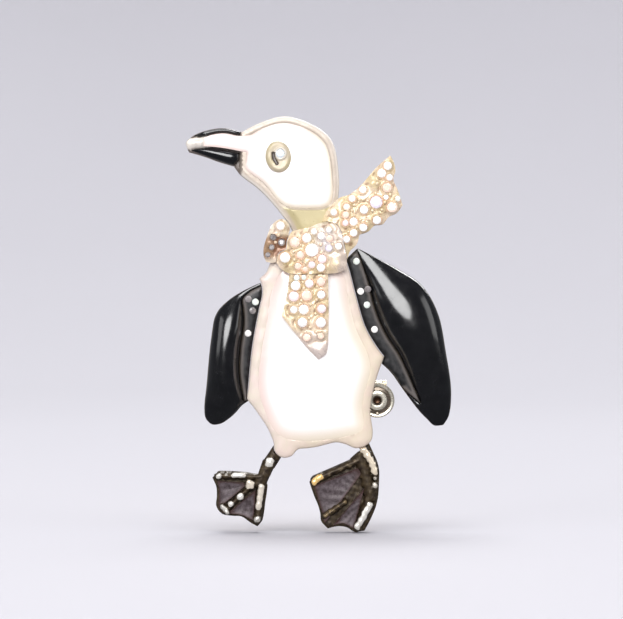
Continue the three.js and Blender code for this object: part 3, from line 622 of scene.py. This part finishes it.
def stone_shape(radius):
    """A round stone with a table, a crown of kites and triangles, and a low back, looking along minus Y."""
    def ring(count, share, height, turn=0.0):
        angles = (np.arange(count) / count + turn) * 2 * math.pi
        return np.stack([share * radius * np.cos(angles), np.full(count, -height * radius),
                         share * radius * np.sin(angles)], 1)

    table = ring(8, 0.54, 0.36)
    middle = ring(8, 0.82, 0.23, 1 / 16)
    girdle = ring(16, 1.0, 0.0)
    low = ring(16, 0.96, -0.10)
    vertices = np.concatenate([table, middle, girdle, low])
    faces = [list(range(8))[::-1], list(range(32, 48))]
    for k in range(8):
        after = (k + 1) % 8
        g0, g1, g2 = 16 + 2 * k, 17 + 2 * k, 16 + (2 * k + 2) % 16
        faces += [[k, after, 8 + k], [k, 8 + k, g0, 8 + (k + 7) % 8], [8 + k, g1, g0], [8 + k, g2, g1]]
    for k in range(16):
        after = (k + 1) % 16
        faces.append([16 + k, 16 + after, 32 + after, 32 + k])
    return vertices, faces


def turned(vertices, spin, lean, lean_way):
    """Turns a stone on its axis, then leans it."""
    c, s = math.cos(spin), math.sin(spin)
    about_axis = np.array([[c, 0, s], [0, 1, 0], [-s, 0, c]])
    ax, az = math.cos(lean_way) * lean, math.sin(lean_way) * lean
    tip_x = np.array([[math.cos(ax), -math.sin(ax), 0], [math.sin(ax), math.cos(ax), 0], [0, 0, 1]])
    tip_z = np.array([[1, 0, 0], [0, math.cos(az), -math.sin(az)], [0, math.sin(az), math.cos(az)]])
    return vertices @ about_axis.T @ tip_x.T @ tip_z.T


def set_stones(name, stones, heights, tints, nodes, lean=0.12):
    """One mesh of stones, each with its own turn, lean and tint."""
    parts, colours = [], []
    for (x, z, radius), height in zip(stones, heights):
        vertices, faces = stone_shape(radius)
        spin, tilt, way = (random.uniform(0, most) for most in (math.tau, lean, math.tau))
        vertices = turned(vertices, spin, tilt, way)
        parts.append((vertices + np.array([x, -height, z]), faces))
        tint = np.array(random.choices([t for t, _ in tints], [w for _, w in tints])[0])
        shade = random.uniform(0.85, 1.0)
        colours += [(*(tint * shade), 1.0)] * len(vertices)
    piece = add_piece(name, joined(*parts), CRYSTAL, *nodes, flat=True)
    layer = piece.data.attributes.new("tint", "FLOAT_COLOR", "POINT")
    layer.data.foreach_set("color", np.array(colours, np.float32).ravel())


CLEAR = (1.0, 0.98, 0.94)
PEACH_REFLECTION = (1.0, 0.74, 0.58)
ROSE_REFLECTION = (1.0, 0.80, 0.80)
LILAC = (0.84, 0.76, 0.88)
MINT = (0.80, 0.88, 0.80)
SMOKE = (0.20, 0.18, 0.18)
# The peach and rose tints of the scarf's stones are painted reflections of the gold round them.
SCARF_TINTS = ((CLEAR, 8), (PEACH_REFLECTION, 2.5), (ROSE_REFLECTION, 1.2), (LILAC, 0.5), (MINT, 0.3))
# The many smoke stones of the fold are painted shade: stones darkened as if in the shadow of the fold.
SHADED_FOLD_TINTS = ((CLEAR, 1), (PEACH_REFLECTION, 2), (SMOKE, 2))
WING_TINTS = ((CLEAR, 3), (SMOKE, 1), (MINT, 1))


# ---- The figure ----

def head_shell():
    """The cast head with its raised rim, plain throat, low beak and worn tip."""
    line = outline("head_casting")
    cell = outline("head_enamel")
    back, rim = height_range("head_casting")
    floor = height_range("head_enamel")[0]
    beak_end = span("upper_beak_enamel")[1][0]
    tip_end = span("head_casting")[0][0]
    stripe_end = span("head_enamel")[0]
    stripe = (stripe_end[0], (span("upper_beak_enamel")[0][2] + span("lower_beak_enamel")[1][2]) / 2)
    tip = np.array([(tip_end + 0.75, stripe[1] - 0.25), (stripe[0] + 0.6, stripe[1] + 0.1)])
    extra = np.concatenate([resample(cell, RING_STEP), offset(cell, 0.16), offset(cell, 0.34)])
    points, faces = triangulate(line, 0.36, FILLET_INSETS, extra)
    edge = distance(points, line)
    within = inside(points, cell)
    out = np.where(within, 0, distance(points, cell))
    beak = ramp(points[:, 0], beak_end + 0.25, beak_end - 0.15)
    front = rim - (rim - floor) * beak
    front -= round_edge(edge, FILLET) * (1 - 0.5 * beak)
    lip, throat_rise, nose_radius, nose_rise = 0.06, 0.25, 0.85, 1.0
    front += lip * np.sin(math.pi * ramp(edge, 0.15, 1.1)) * (1 - beak)
    bottom = cell[:, 1].min()
    throat = ramp(out, 0.05, 0.35) * ramp(edge, 0.5, 0.9) * ramp(points[:, 1], bottom + 0.9, bottom - 0.1)
    front += throat_rise * throat * ramp(edge, 0.5, 1.6)
    front -= CELL_DROP * within * ramp(distance(points, cell), 0.1, 0.4) * (1 - beak)
    nose = np.sqrt(np.clip(1 - (distance(points, tip, closed=False) / nose_radius) ** 2, 0, 1))
    front += nose * (nose_rise + 0.10 * waves(points, 0.7, 3)) + 0.012 * waves(points, 1.8, 4)
    back_face = back + round_edge(edge, BACK_EDGE)
    tan_line = 0.20 * np.exp(-((edge - 1.0) / 0.3) ** 2) * (1 - throat)
    # The pale tone along the outer lip is a painted highlight; on the nose it is the real worn metal of the
    # tip.
    fields = {"warm": throat * 0.95,
              "wear_and_highlight": np.maximum(0.8 * ramp(edge, 0.36, 0.16) * (1 - beak), 0.9 * ramp(nose, 0.0, 0.3)),
              "dark_and_shade": np.maximum(0.9 * beak * (nose < 0.1), tan_line)}
    add_piece("head_shell", slab(points, faces, front, back_face), GILT, "head_casting", fields=fields)


def offset(loop, gap):
    """A line moved outwards by a gap."""
    line = resample(loop, RING_STEP)
    along = np.roll(line, -1, 0) - np.roll(line, 1, 0)
    return line + np.stack([along[:, 1], -along[:, 0]], 1) / np.linalg.norm(along, axis=1)[:, None] * gap


def dome(name, node, finish, edge_height, crown, power, spacing=0.4, loop=None, thin_and_shade_width=1.0, fall=0.0):
    """An enamel pool: low along its line, full in the middle, and falling away towards its top and bottom."""
    line = outline(node) if loop is None else loop
    points, faces = triangulate(line, spacing, FILLET_INSETS)
    low, high = points.min(0), points.max(0)
    across = (points - low) / (high - low)
    full = membrane(points, faces) ** power * (1 - fall * (2 * across[:, 1] - 1) ** 2)
    front = edge_height + (crown - edge_height) * full
    # The edge field sets the beige rim of white enamel: partly thin enamel, partly painted shade.
    fields = {"edge": ramp(distance(points, line), 0.0, thin_and_shade_width),
              "cream": ramp(across[:, 0] - 0.7 * across[:, 1], -0.1, 0.5)}
    add_piece(name, slab(points, faces, front, height_range(node)[0]), finish, node, fields=fields)


def body_shell():
    """The cast body: a broad rim with a soft lip, and tabs where the legs start."""
    line = outline("body_casting")
    back, rim = height_range("body_casting")
    floor = height_range("belly_enamel")[0]
    cell = outline("body_casting", -1, floor - 0.05)
    extra = np.concatenate([resample(cell, RING_STEP), offset(cell, 0.2)])
    points, faces = triangulate(line, 0.42, FILLET_INSETS, extra)
    edge = distance(points, line)
    within = inside(points, cell)
    drop = CELL_DROP * ramp(distance(points, cell), 0.1, 0.4)
    front = rim - round_edge(edge, 0.6) + np.where(within, -drop, 0.02 * waves(points, 2.5, 8))
    low, high = points.min(0), points.max(0)
    across = (points - low) / (high - low)
    fields = {"warm": 0.22 * ramp(across[:, 0] - 0.7 * across[:, 1], 0.0, 0.5)}
    shape = slab(points, faces, front, back + round_edge(edge, BACK_EDGE))
    add_piece("body_shell", shape, CREAM_GILT, "body_casting", fields=fields)
    return cell


def wing(side):
    """A wing: its plate, the domed black enamel, the dull inner band and the stones on it."""
    plate = f"{side}_wing_casting"
    line = outline(plate)
    back, face = height_range(plate)
    points, faces = triangulate(line, 0.5, FILLET_INSETS)
    edge = distance(points, line)
    shape = slab(points, faces, face - 0.3 * round_edge(edge, 0.3), back + round_edge(edge, BACK_EDGE))
    add_piece(f"{side}_wing_plate", shape, ANTIQUE, plate, fields={"high": 0.05})
    enamel = f"{side}_wing_enamel"
    crown = height_range(enamel)[1] + 0.7
    dome(f"{side}_wing_dome", enamel, BLACK, face + 0.2, crown, 0.5, 0.35, fall=0.85)
    band = f"{side}_wing_band"
    low, high = height_range(band)
    strip = outline(band)
    points, faces = triangulate(strip, 0.25, FILLET_INSETS)
    edge = distance(points, strip)
    from_dome = nearest(points, resample(outline(enamel), EDGE_STEP))
    front = high - round_edge(edge, 0.35) + 0.12 * membrane(points, faces)
    # This field marks the strip beside the dome that is painted lighter, a painted sheen.
    fields = {"high": ramp(from_dome, 0.0, 0.25) * ramp(from_dome, 0.75, 0.35)}
    add_piece(f"{side}_wing_inner_band", slab(points, faces, front, low), SATIN, band, fields=fields)
    for name in sorted(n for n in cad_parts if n.startswith(f"{side}_wing_crystal")):
        height = height_range(name)[0] + 0.1
        set_stones(name.replace("crystal", "stone"), [disc(name)], [height], WING_TINTS, [name], 0.2)


def eye():
    """The oval bezel, dished and slit, with the crystal in a pale ring. The dark in the slit is a painted
    dark reflection, the pale ring a painted highlight.
    """
    dish, slit_depth, ring_rise = 0.05, 0.40, 0.24
    line = outline("eye_bezel")
    low, high = height_range("eye_bezel")
    points, faces = triangulate(line, 0.11, FILLET_INSETS)
    edge = distance(points, line)
    *stone, radius = disc("eye_crystal")
    from_stone = np.linalg.norm(points - stone, axis=1)
    slit = np.array(stone) + np.array([(-0.98, 0.0), (-0.90, -0.70), (-0.48, -1.35)])
    from_slit = distance(points, slit, closed=False)
    front = high - round_edge(edge, 0.5) - dish * ramp(edge, 0.4, 1.2) + 0.01 * waves(points, 1.2, 12)
    front -= slit_depth * ramp(from_slit, 0.30, 0.14)
    ring = np.exp(-((from_stone - radius - 0.06) / 0.12) ** 2) * ramp(from_slit, 0.12, 0.30)
    front += ring_rise * ring
    # Painted light: the dark tone in the slit is a painted dark reflection, and the pale ring round the stone
    # a painted highlight.
    fields = {"dark_and_shade": ramp(from_slit, 0.30, 0.20), "wear_and_highlight": ring,
              "warm": 0.35 + 0.35 * ramp(waves(points, 2.4, 9), -0.4, 1.0)}
    add_piece("eye_oval", slab(points, faces, front, low), GILT, "eye_bezel", fields=fields)
    blue_grey = (0.66, 0.74, 0.80)
    set_stones("eye_stone", [(*stone, radius)], [high - 0.02], ((blue_grey, 1),), ["eye_crystal"], 0.05)


# ---- The scarf ----

def gaps_between(stones, line):
    """Where small beads fit between stones: the middles of the triangles that their centres make."""
    least_room, most_room, bead = 0.06, 0.9, 0.24
    centres = [Vector((x, z)) for x, z, _ in stones]
    if len(centres) < 3:
        return []
    found = delaunay_2d_cdt(centres, [], [], 0, 1e-5)
    beads = []
    for a, b, c in found[2]:
        corners = np.array([stones[k][:2] for k in (a, b, c)])
        middle = corners.mean(0)
        room = min(np.linalg.norm(middle - s[:2]) - s[2] for s in np.array(stones))
        if least_room < room < most_room and inside(middle[None], line)[0]:
            beads.append((*middle, min(room, bead)))
    return beads


def scarf_part(part, node, joins, tints=SCARF_TINTS, look=None, drop=0.6, reach=1.1):
    """A part of the scarf: a soft-edged casting with a seat round each stone. A look gives the surface's
    rise and its own fields at each point."""
    stone_rise, bed, seat_rise, groove = 0.12, 0.25, 0.16, 0.14
    name, paved = f"scarf_{part}_casting", f"scarf_{part}_pave"
    line = outline(node)
    back, face = height_range(node)
    stones = stones_of(paved)
    points, faces = triangulate(line, 0.11)
    edge = nearest(points, free_rim(line, joins))
    rise, own = look(points) if look else (0, {})
    surface = face - drop * (1 - ramp(edge, 0.0, reach) ** 0.6) + 0.05 * waves(points, 1.4, 21) + rise
    centres = np.array([s[:2] for s in stones])
    radii = np.array([s[2] for s in stones])
    away = np.linalg.norm(points[:, None] - centres, axis=2) - radii
    gap = away.min(1)
    heights = [height_at(points, surface, c) + stone_rise for c in centres]
    seat = np.array(heights)[away.argmin(1)]
    front = np.where(gap < 0, seat - bed, surface) + seat_rise * np.exp(-((gap - 0.05) / 0.09) ** 2)
    between = ramp(gap, 0.14, 0.32) * ramp(gap, 0.95, 0.45) * (1 - own.get("worn", 0))
    front -= groove * between
    fields = {"dark_and_shade": 0.7 * between * ramp(waves(points, 1.1, 5), 0.3, 1.1),
              "warm": 0.45 * ramp(waves(points, 3.0, 6), -0.3, 1.0),
              "seat": 0.6 * np.exp(-((gap - 0.04) / 0.12) ** 2) * ramp(waves(points, 2.2, 7), -0.6, 0.4)}
    for field, values in own.items():
        fields[field] = np.maximum(fields.get(field, 0), values)
    add_piece(name, slab(points, faces, front, back), SCARF_GILT, node, fields=fields)
    set_stones(f"{name}_stones", stones, heights, tints, [paved])
    parts = []
    for x, z, size in gaps_between(stones, line):
        top = height_at(points, surface, (x, z)) + 0.02
        arc = [(size * math.sin(a), -top - size * 0.8 * math.cos(a)) for a in np.linspace(0, math.pi / 2, 5)]
        arc[0] = (0, arc[0][1])
        parts.append(lathe([*arc, (0, -top + 0.25)], (x, 0, z), "y", 12))
    add_piece(f"{name}_beads", joined(*parts), SCARF_GILT)


def height_at(points, surface, place):
    """The surface's height at the net's point nearest to a place."""
    return float(surface[np.argmin(np.linalg.norm(points - np.array(place), axis=1))])


def in_box(points, node):
    """The points as shares of a node's box, from its lower left corner."""
    low, high = span(node)
    return (points - low[[0, 2]]) / (high - low)[[0, 2]]


def collar_look(points):
    """Smooth lilac grey metal to the right of the middle, and a plain strip along the right."""
    place = in_box(points, "scarf_collar")
    smooth_part = np.exp(-(((place - (0.70, 0.66)) / (0.17, 0.30)) ** 2).sum(1))
    strip = ramp(place[:, 0], 0.84, 0.92)
    return 0.06 * smooth_part, {"cool": 0.75 * smooth_part, "worn": 0.7 * strip}


def fold_look(points):
    """A peach lobe on top, a little lighter, and a hollow below it on the side of the neck painted dark as
    painted shade.
    """
    place = in_box(points, "scarf_shoulder_fold")
    hollow = ramp(place[:, 1], 0.68, 0.54) * ramp(place[:, 1], 0.02, 0.22)
    inner = hollow * ramp(place[:, 0], 0.10, 0.45)
    # Painted light: the hollow is painted dark as painted shade, and the rest painted a little lighter.
    return -0.55 * inner, {"dark_and_shade": np.maximum(0.97 * inner, 0.75 * hollow), "wear_and_highlight": 0.35 * (1 - hollow)}


def front_look(points):
    """A plain end that fades to a pinkish grey beige."""
    end = ramp(in_box(points, "scarf_front_tail")[:, 1] + 0.05 * waves(points, 1.5, 14), 0.50, 0.05)
    return 0.1, {"worn": end}


def scarf():
    """The collar, the end in front, the flying end and the fold at the shoulder."""
    collar, front_tail = outline("scarf_collar"), outline("scarf_front_tail")
    tails = front_tail, outline("scarf_flying_tail")
    scarf_part("collar", "scarf_collar", tails, look=collar_look)
    scarf_part("front", "scarf_front_tail", (collar,), look=front_look, drop=0.12, reach=0.35)
    scarf_part("flying", "scarf_flying_tail", (collar,))
    scarf_part("shoulder", "scarf_shoulder_fold", (collar,), SHADED_FOLD_TINTS, fold_look)


# ---- The feet ----

# A ridge or bar is its half width in millimetres, how bright and how golden it is painted (painted highlight
# where bright, painted shade where dim), and the X and Z of each point of its path, in shares of the foot's
# box from its lower left corner. A bead has one point.
LEFT_LUMPS = (
    (0.95, 0.05, 0, 0.96, 0.99, 0.80, 0.74, 0.68, 0.54),
    (0.50, 0.10, 0, 0.70, 0.62, 0.07, 0.63),
    (0.42, 0.15, 0, 0.60, 0.54, 0.17, 0.19),
    (0.60, 0.15, 0, 0.70, 0.52, 0.66, 0.08),
    (0.42, 1.0, 0, 0.31, 0.64, 0.45, 0.64),
    (0.54, 1.0, 0.15, 0.71, 0.50, 0.69, 0.36, 0.67, 0.25),
    (0.42, 0.6, 0, 0.15, 0.26, 0.22, 0.18),
    (0.55, 0.9, 0, 0.10, 0.63),
    (0.30, 0.4, 0, 0.21, 0.65),
    (0.82, 1.0, 0.2, 0.55, 0.53),
    (0.64, 0.95, 0, 0.41, 0.38),
    (0.50, 0.85, 0, 0.27, 0.29),
    (0.66, 0.55, 0, 0.65, 0.10),
    (0.84, 0.95, 0, 0.83, 0.80),
)
RIGHT_LUMPS = (
    (0.90, 0.05, 0.5, 0.66, 1.0, 0.80, 0.66, 0.88, 0.40),
    (0.55, 0.16, 0.5, 0.68, 0.80, 0.09, 0.59),
    (0.50, 0.22, 0.8, 0.50, 0.34, 0.22, 0.19),
    (0.62, 0.10, 0, 0.90, 0.50, 0.70, 0.06),
    (0.60, 1.0, 0.3, 0.70, 0.99, 0.80, 0.90, 0.90, 0.77, 0.93, 0.68),
    (0.55, 0.95, 0, 0.86, 0.31, 0.76, 0.17, 0.68, 0.07),
    (0.58, 1.0, 1.0, 0.07, 0.57, 0.15, 0.62),
    (0.55, 0.65, 0.1, 0.93, 0.53),
    (0.34, 0.45, 0.1, 0.94, 0.61),
)


RIB_COUNT = 26


def foot(side, lumps, webs):
    """A cast foot: a thin plate, and the leg, toes and knuckles standing on it, painted bright or dark:
    painted highlights and painted shade.
    """
    node = f"{side}_foot_casting"
    line = outline(node)
    low, high = span(node)
    back, top = height_range(node)
    plate_depth, back_edge = 0.7, 0.2
    plate = back + plate_depth
    points, faces = triangulate(line, 0.12, FILLET_INSETS[:2])
    place = points - low[[0, 2]]
    edge = distance(points, line)
    front = np.full(len(points), plate)
    highlight_map, highlight_gold_map = np.zeros(len(points)), np.zeros(len(points))
    size = (high - low)[[0, 2]]
    for half_width, highlight, gold_highlight, *path in lumps:
        path = np.reshape(path, (-1, 2)) * size
        away = distance(place, path, closed=False) if len(path) > 1 else np.linalg.norm(place - path, axis=1)
        half_width = half_width * (1 + 0.14 * waves(points, 1.0, round(100 * path[0][0])))
        rise = np.sqrt(np.clip(1 - (away / half_width) ** 2, 0, 1))
        base = plate + (0.35 if highlight > 0.3 else -0.1)
        lump = base + (top - base) * rise * (0.85 + 0.15 * highlight)
        front = np.where(rise > 0, np.maximum(front, lump), front)
        # A lump's brightness is painted light: a painted highlight where it is bright, painted shade where it
        # is dark.
        highlight_share = highlight * ramp(rise, 0.45, 0.90)
        highlight_gold_map = np.where(highlight_share > highlight_map, gold_highlight, highlight_gold_map)
        highlight_map = np.maximum(highlight_map, highlight_share)
    front += 0.025 * waves(points, 0.8, 31) - round_edge(edge, 0.3)
    shape = slab(points, faces, front, back + round_edge(edge, back_edge))
    add_piece(f"{side}_foot", shape, ANTIQUE, node, fields={"high": highlight_map, "gold_highlight": highlight_gold_map})
    heel = low[[0, 2]] + np.array(lumps[0][-2:]) * size
    for web in webs:
        low_web, high_web = height_range(web)
        points, faces = triangulate(outline(web), 0.16, FILLET_INSETS[:1])
        film = membrane(points, faces)
        ribs = np.sin(np.arctan2(*(points - heel).T) * RIB_COUNT)
        front = high_web + 0.05 - 0.22 * film + 0.035 * ribs * film ** 0.5
        add_piece(web.replace("web", "web_skin"), slab(points, faces, front, low_web), WEB, web,
                  fields={"dark_and_shade": 0.8 * ramp(film, 0.35, 0.0)})


# ---- Pin, hinge and catch ----

CHEEK = 0.5
CHEEK_PLAY = 0.1
RIVET_RADIUS = 0.41
WIRE_RADIUS = 0.42


def hinge():
    """The bracket with two round-headed cheeks on a soldered pad, and the rivet through them."""
    low, high = span("hinge_bracket")
    pin_low, pin_high = span("hinge_rivet")
    x, y = (pin_low[0] + pin_high[0]) / 2, (pin_low[1] + pin_high[1]) / 2
    eye_radius = high[1] - y
    pad_radius = (high[0] - low[0]) / 2
    root = low[1]
    pad = lathe([(0, 0), (pad_radius, 0), (pad_radius, 0.32), (pad_radius - 0.3, 0.5), (0, 0.5)],
                (x, root, 0), "y")
    cheek = [(x - eye_radius - 0.2, root + 0.3), (x + eye_radius + 0.2, root + 0.3), (x + eye_radius, y)]
    around = np.linspace(0.15, math.pi, 22)
    cheek += [(x + eye_radius * math.cos(a), y + eye_radius * math.sin(a)) for a in around]
    inner = span("pin_stem")[1][2] + CHEEK_PLAY
    cheeks = [extrude(cheek, inner, inner + CHEEK, "z"), extrude(cheek, -inner - CHEEK, -inner, "z")]
    add_piece("hinge_cheeks", joined(pad, *cheeks), STEEL, "hinge_bracket", bevel=0.06)
    half = (pin_high[2] - pin_low[2]) / 2
    head = (pin_high[0] - pin_low[0]) / 2
    shaft = RIVET_RADIUS - 0.05
    arc = [(head * math.sin(a), half - 0.32 + 0.32 * math.cos(a)) for a in np.linspace(0, math.pi / 2, 7)]
    arc[0] = (0, half)
    profile = [*arc, (shaft, half - 0.34), (shaft, 0.34 - half)] + [(r, -place) for r, place in arc[::-1]]
    add_piece("hinge_pin", lathe(profile, (x, y, 0), "z", 32), BRASS, "hinge_rivet")


def stem():
    """The sprung wire with its flattened eye and a ground point."""
    low, high = span("pin_stem")
    x = disc("hinge_rivet")[0]
    outer = x - low[0]
    half = (high[2] - low[2]) / 2
    bore = RIVET_RADIUS
    ring = [(bore, 0.08 - half), (bore + 0.08, -half), (outer - 0.1, -half), (outer, 0.1 - half),
            (outer, half - 0.1), (outer - 0.1, half), (bore + 0.08, half), (bore, half - 0.08)]
    start = x + outer - 0.3
    point_length = 5.0
    shoulder = high[0] - point_length
    wire = [(0, start), (WIRE_RADIUS, start), (WIRE_RADIUS, shoulder)]
    wire += [(WIRE_RADIUS * (1 - s ** 1.6), shoulder + point_length * s) for s in np.linspace(0.1, 0.97, 12)]
    wire += [(0, high[0])]
    shape = joined(lathe(ring, (x, 0, 0), "z"), lathe(wire, (0, 0, 0), "x", 32))
    add_piece("stem", shape, STEEL, "pin_stem", body="pin")


def catch():
    """The round pad with its ring, its middle knob and two solder beads, the post and the slotted barrel."""
    low, high = span("catch_body")
    barrel_x = disc("catch_sleeve")[0] - 0.2
    radius = 2.45
    x, z = high[0] - radius, low[2] + radius
    face = low[1]
    profile = [(0, 1.05), (0.40, 0.95), (0.55, 0.35), (0.75, 0.06), (1.05, 0), (1.35, 0.10), (1.5, 0.55),
               (radius - 0.62, 0.62), (radius - 0.45, 0.34), (radius - 0.22, 0.28), (radius, 0.5),
               (radius, 1.3), (radius - 0.15, 1.42), (0, 1.42)]
    solder = [(0, 0.1), (0.24, 0.2), (0.32, 0.42), (0.25, 0.75), (0, 0.9)]
    beads = [lathe(solder, (x + dx, face, z + dz), "y", 16) for dx, dz in ((-0.95, -1.5), (0.05, -1.9))]
    post = extrude(rounded_box(barrel_x, 0, 0.8, 0.55, 0.2), face + 1.2, -0.9, "y")
    shape = joined(lathe(profile, (x, face, z), "y", 64), *beads, post, barrel(barrel_x, 1.3, 1.0, 1.2, 0.5))
    out = np.hypot(shape[0][:, 0] - x, shape[0][:, 2] - z)
    front_side = shape[0][:, 1] < face + 1.2
    groove = ramp(out, 1.42, 1.5) * ramp(out, radius - 0.45, radius - 0.6)
    # The brown in the middle hollow and the groove is painted shade.
    fields = {"dark_and_shade": front_side * np.maximum(ramp(out, 0.7, 0.5), 0.8 * groove)}
    add_piece("catch_pad_and_barrel", shape, STEEL, "catch_body", fields=fields)


def rounded_box(u, v, half_u, half_v, radius):
    """A rectangle with round corners, as a loop."""
    steps = 5
    loop = []
    for k, (su, sv) in enumerate(((1, 1), (-1, 1), (-1, -1), (1, -1))):
        for s in range(steps):
            angle = (k + s / (steps - 1)) * math.pi / 2
            loop.append((u + su * (half_u - radius) + radius * math.cos(angle),
                         v + sv * (half_v - radius) + radius * math.sin(angle)))
    return loop


def barrel(x, outer, inner, half_length, half_gap):
    """A tube along X with a slot open to the back, and end faces cut into quads."""
    steps = 41
    angles = np.linspace(half_gap, 2 * math.pi - half_gap, steps)
    loop = [(outer * math.cos(a), outer * math.sin(a)) for a in angles]
    loop += [(inner * math.cos(a), inner * math.sin(a)) for a in angles[::-1]]
    count = 2 * steps
    vertices = [(place, a, b) for place in (x - half_length, x + half_length) for a, b in loop]
    faces = [(i, (i + 1) % count, (i + 1) % count + count, i + count) for i in range(count)]
    for i in range(steps - 1):
        j = count - 1 - i
        faces += [(i, j, j - 1, i + 1), (i + count, i + 1 + count, j - 1 + count, j + count)]
    return np.array(vertices), faces


def sleeve():
    """The rotating sleeve inside the barrel, its flange and its thumb lever."""
    low, high = span("catch_sleeve")
    flange = high[0] - 0.5
    tube = barrel((low[0] + high[0]) / 2, 0.9, 0.6, (high[0] - low[0]) / 2, 0.75)
    collar = barrel(flange + 0.25, 1.3, 0.62, 0.25, 0.5)
    lever = extrude([(-0.28, -0.95), (-0.22, -2.4), (0.22, -2.4), (0.28, -0.95)], flange, high[0], "x")
    thumb = lathe([(0, -0.02), (0.42, 0), (0.5, 0.08), (0.5, 0.42), (0.42, 0.5), (0, 0.52)],
                  (flange, 0, low[2] + 0.5), "x", 24)
    shape = joined(tube, collar, lever, thumb)
    add_piece("sleeve", shape, BRASS, "catch_sleeve", body="safety_catch")


# ---- Stage, lights and camera ----

def stage():
    """A pale floor that curves up into a wall all round. It isn't mirrored, so that black stays black."""
    middle, flat, cove, top, gap = 60, 300, 1000, 2000, 0.02
    floor = CAD_LOW.z / MM - gap
    curve = np.linspace(0, math.pi / 2, 24)
    profile = [(0, floor), (middle, floor)]
    profile += [(flat + cove * math.sin(a), floor + cove - cove * math.cos(a)) for a in curve]
    profile += [(flat + cove, floor + top)]
    vertices, faces = lathe(profile, (0, 0, 0), "z", 96)
    mesh = bpy.data.meshes.new("backdrop")
    mesh.from_pydata((vertices * MM).tolist(), [], [face[::-1] for face in faces])
    mesh.shade_smooth()
    backdrop = bpy.data.objects.new("backdrop", mesh)
    paint = Paint("pale_backdrop", Roughness=0.75)
    paint.colour(paint.blend(paint.noise(300.0, 2.0), (0.68, 0.67, 0.71), (0.72, 0.71, 0.75)))
    mesh.materials.append(paint.material)
    backdrop.visible_glossy = False
    bpy.context.scene.collection.objects.link(backdrop)
    return backdrop


LAMPS_AIM = (0, 0, 10)


def softbox(name, place, width, height, power, shape="RECTANGLE"):
    """A soft lamp at a place, aimed at the brooch. Lengths are in millimetres and the power is in watts."""
    data = bpy.data.lights.new(name, "AREA")
    data.shape = shape
    data.size, data.size_y = width * MM, height * MM
    data.energy = power
    light = bpy.data.objects.new(name, data)
    light.location = Vector(place) * MM
    light.rotation_euler = (Vector(LAMPS_AIM) - Vector(place)).to_track_quat("-Z", "Y").to_euler()
    light.visible_camera = False
    bpy.context.scene.collection.objects.link(light)
    return light


def lights(backdrop):
    """Soft boxes round the brooch. The two nearest the floor are kept off it, so that it isn't burnt out
    there, and a wash from above lights it alone."""
    spared = bpy.data.collections.new("spared_backdrop")
    spared.objects.link(backdrop)
    spared.collection_objects[0].light_linking.link_state = "EXCLUDE"
    key = softbox("key", (-40, -380, 175), 280, 260, 1.65, "ELLIPSE")
    back_fill = softbox("back_fill", (120, 400, 260), 260, 260, 1.5)
    for lamp in (key, back_fill):
        lamp.light_linking.receiver_collection = spared
    washed = bpy.data.collections.new("washed_backdrop")
    washed.objects.link(backdrop)
    wash = softbox("wash", (0, 0, 1100), 900, 900, 6.0)
    wash.light_linking.receiver_collection = washed
    softbox("left_fill", (-420, -240, 190), 260, 300, 0.4)
    softbox("right_fill", (440, -160, 190), 220, 300, 0.35)
    softbox("top", (0, 0, 1100), 900, 900, 8.0)
    world = bpy.data.worlds.new("studio")
    world.use_nodes = True
    sky = world.node_tree.nodes["Background"].inputs
    sky["Color"].default_value = (0.90, 0.93, 1.0, 1)
    sky["Strength"].default_value = 0.15
    bpy.context.scene.world = world
    bpy.context.scene.view_settings.view_transform = "Standard"


def camera():
    """Straight on to the face of the brooch, a little above its middle."""
    lens, sensor = 85.0, 36.0
    frame_width, face = 87.2, -7.0
    left, above = 1.0, 2.2
    middle = (CAD_LOW + CAD_HIGH) / 2 / MM
    data = bpy.data.cameras.new("camera")
    data.lens, data.sensor_width = lens, sensor
    eye_point = bpy.data.objects.new("camera", data)
    away = frame_width * lens / sensor
    eye_point.location = Vector((middle.x - left, face - away, middle.z + above)) * MM
    eye_point.rotation_euler = (math.pi / 2, 0, 0)
    data.clip_start, data.clip_end = 0.005, 10
    bpy.context.scene.collection.objects.link(eye_point)
    bpy.context.scene.camera = eye_point


camera()
lights(stage())

head_shell()
dome("face_enamel", "head_enamel", WHITE, height_range("head_casting")[1] + 0.02,
     height_range("head_enamel")[1], power=0.75, thin_and_shade_width=0.9)
for beak_part in ("upper_beak_enamel", "lower_beak_enamel"):
    beak_low, beak_high = height_range(beak_part)
    dome(beak_part.replace("enamel", "gloss"), beak_part, BLACK, beak_low + 0.25, beak_high + 0.1, 0.5, 0.25)
eye()
belly_line = body_shell()
dome("belly_white", "belly_enamel", WHITE, height_range("body_casting")[1] + 0.02,
     height_range("belly_enamel")[1], power=0.95, loop=belly_line, thin_and_shade_width=2.6)
wing("left")
wing("right")
scarf()
foot("left", LEFT_LUMPS, ("left_foot_outer_web", "left_foot_inner_web"))
foot("right", RIGHT_LUMPS, ("right_foot_inner_web", "right_foot_outer_web"))
hinge()
stem()
catch()
sleeve()
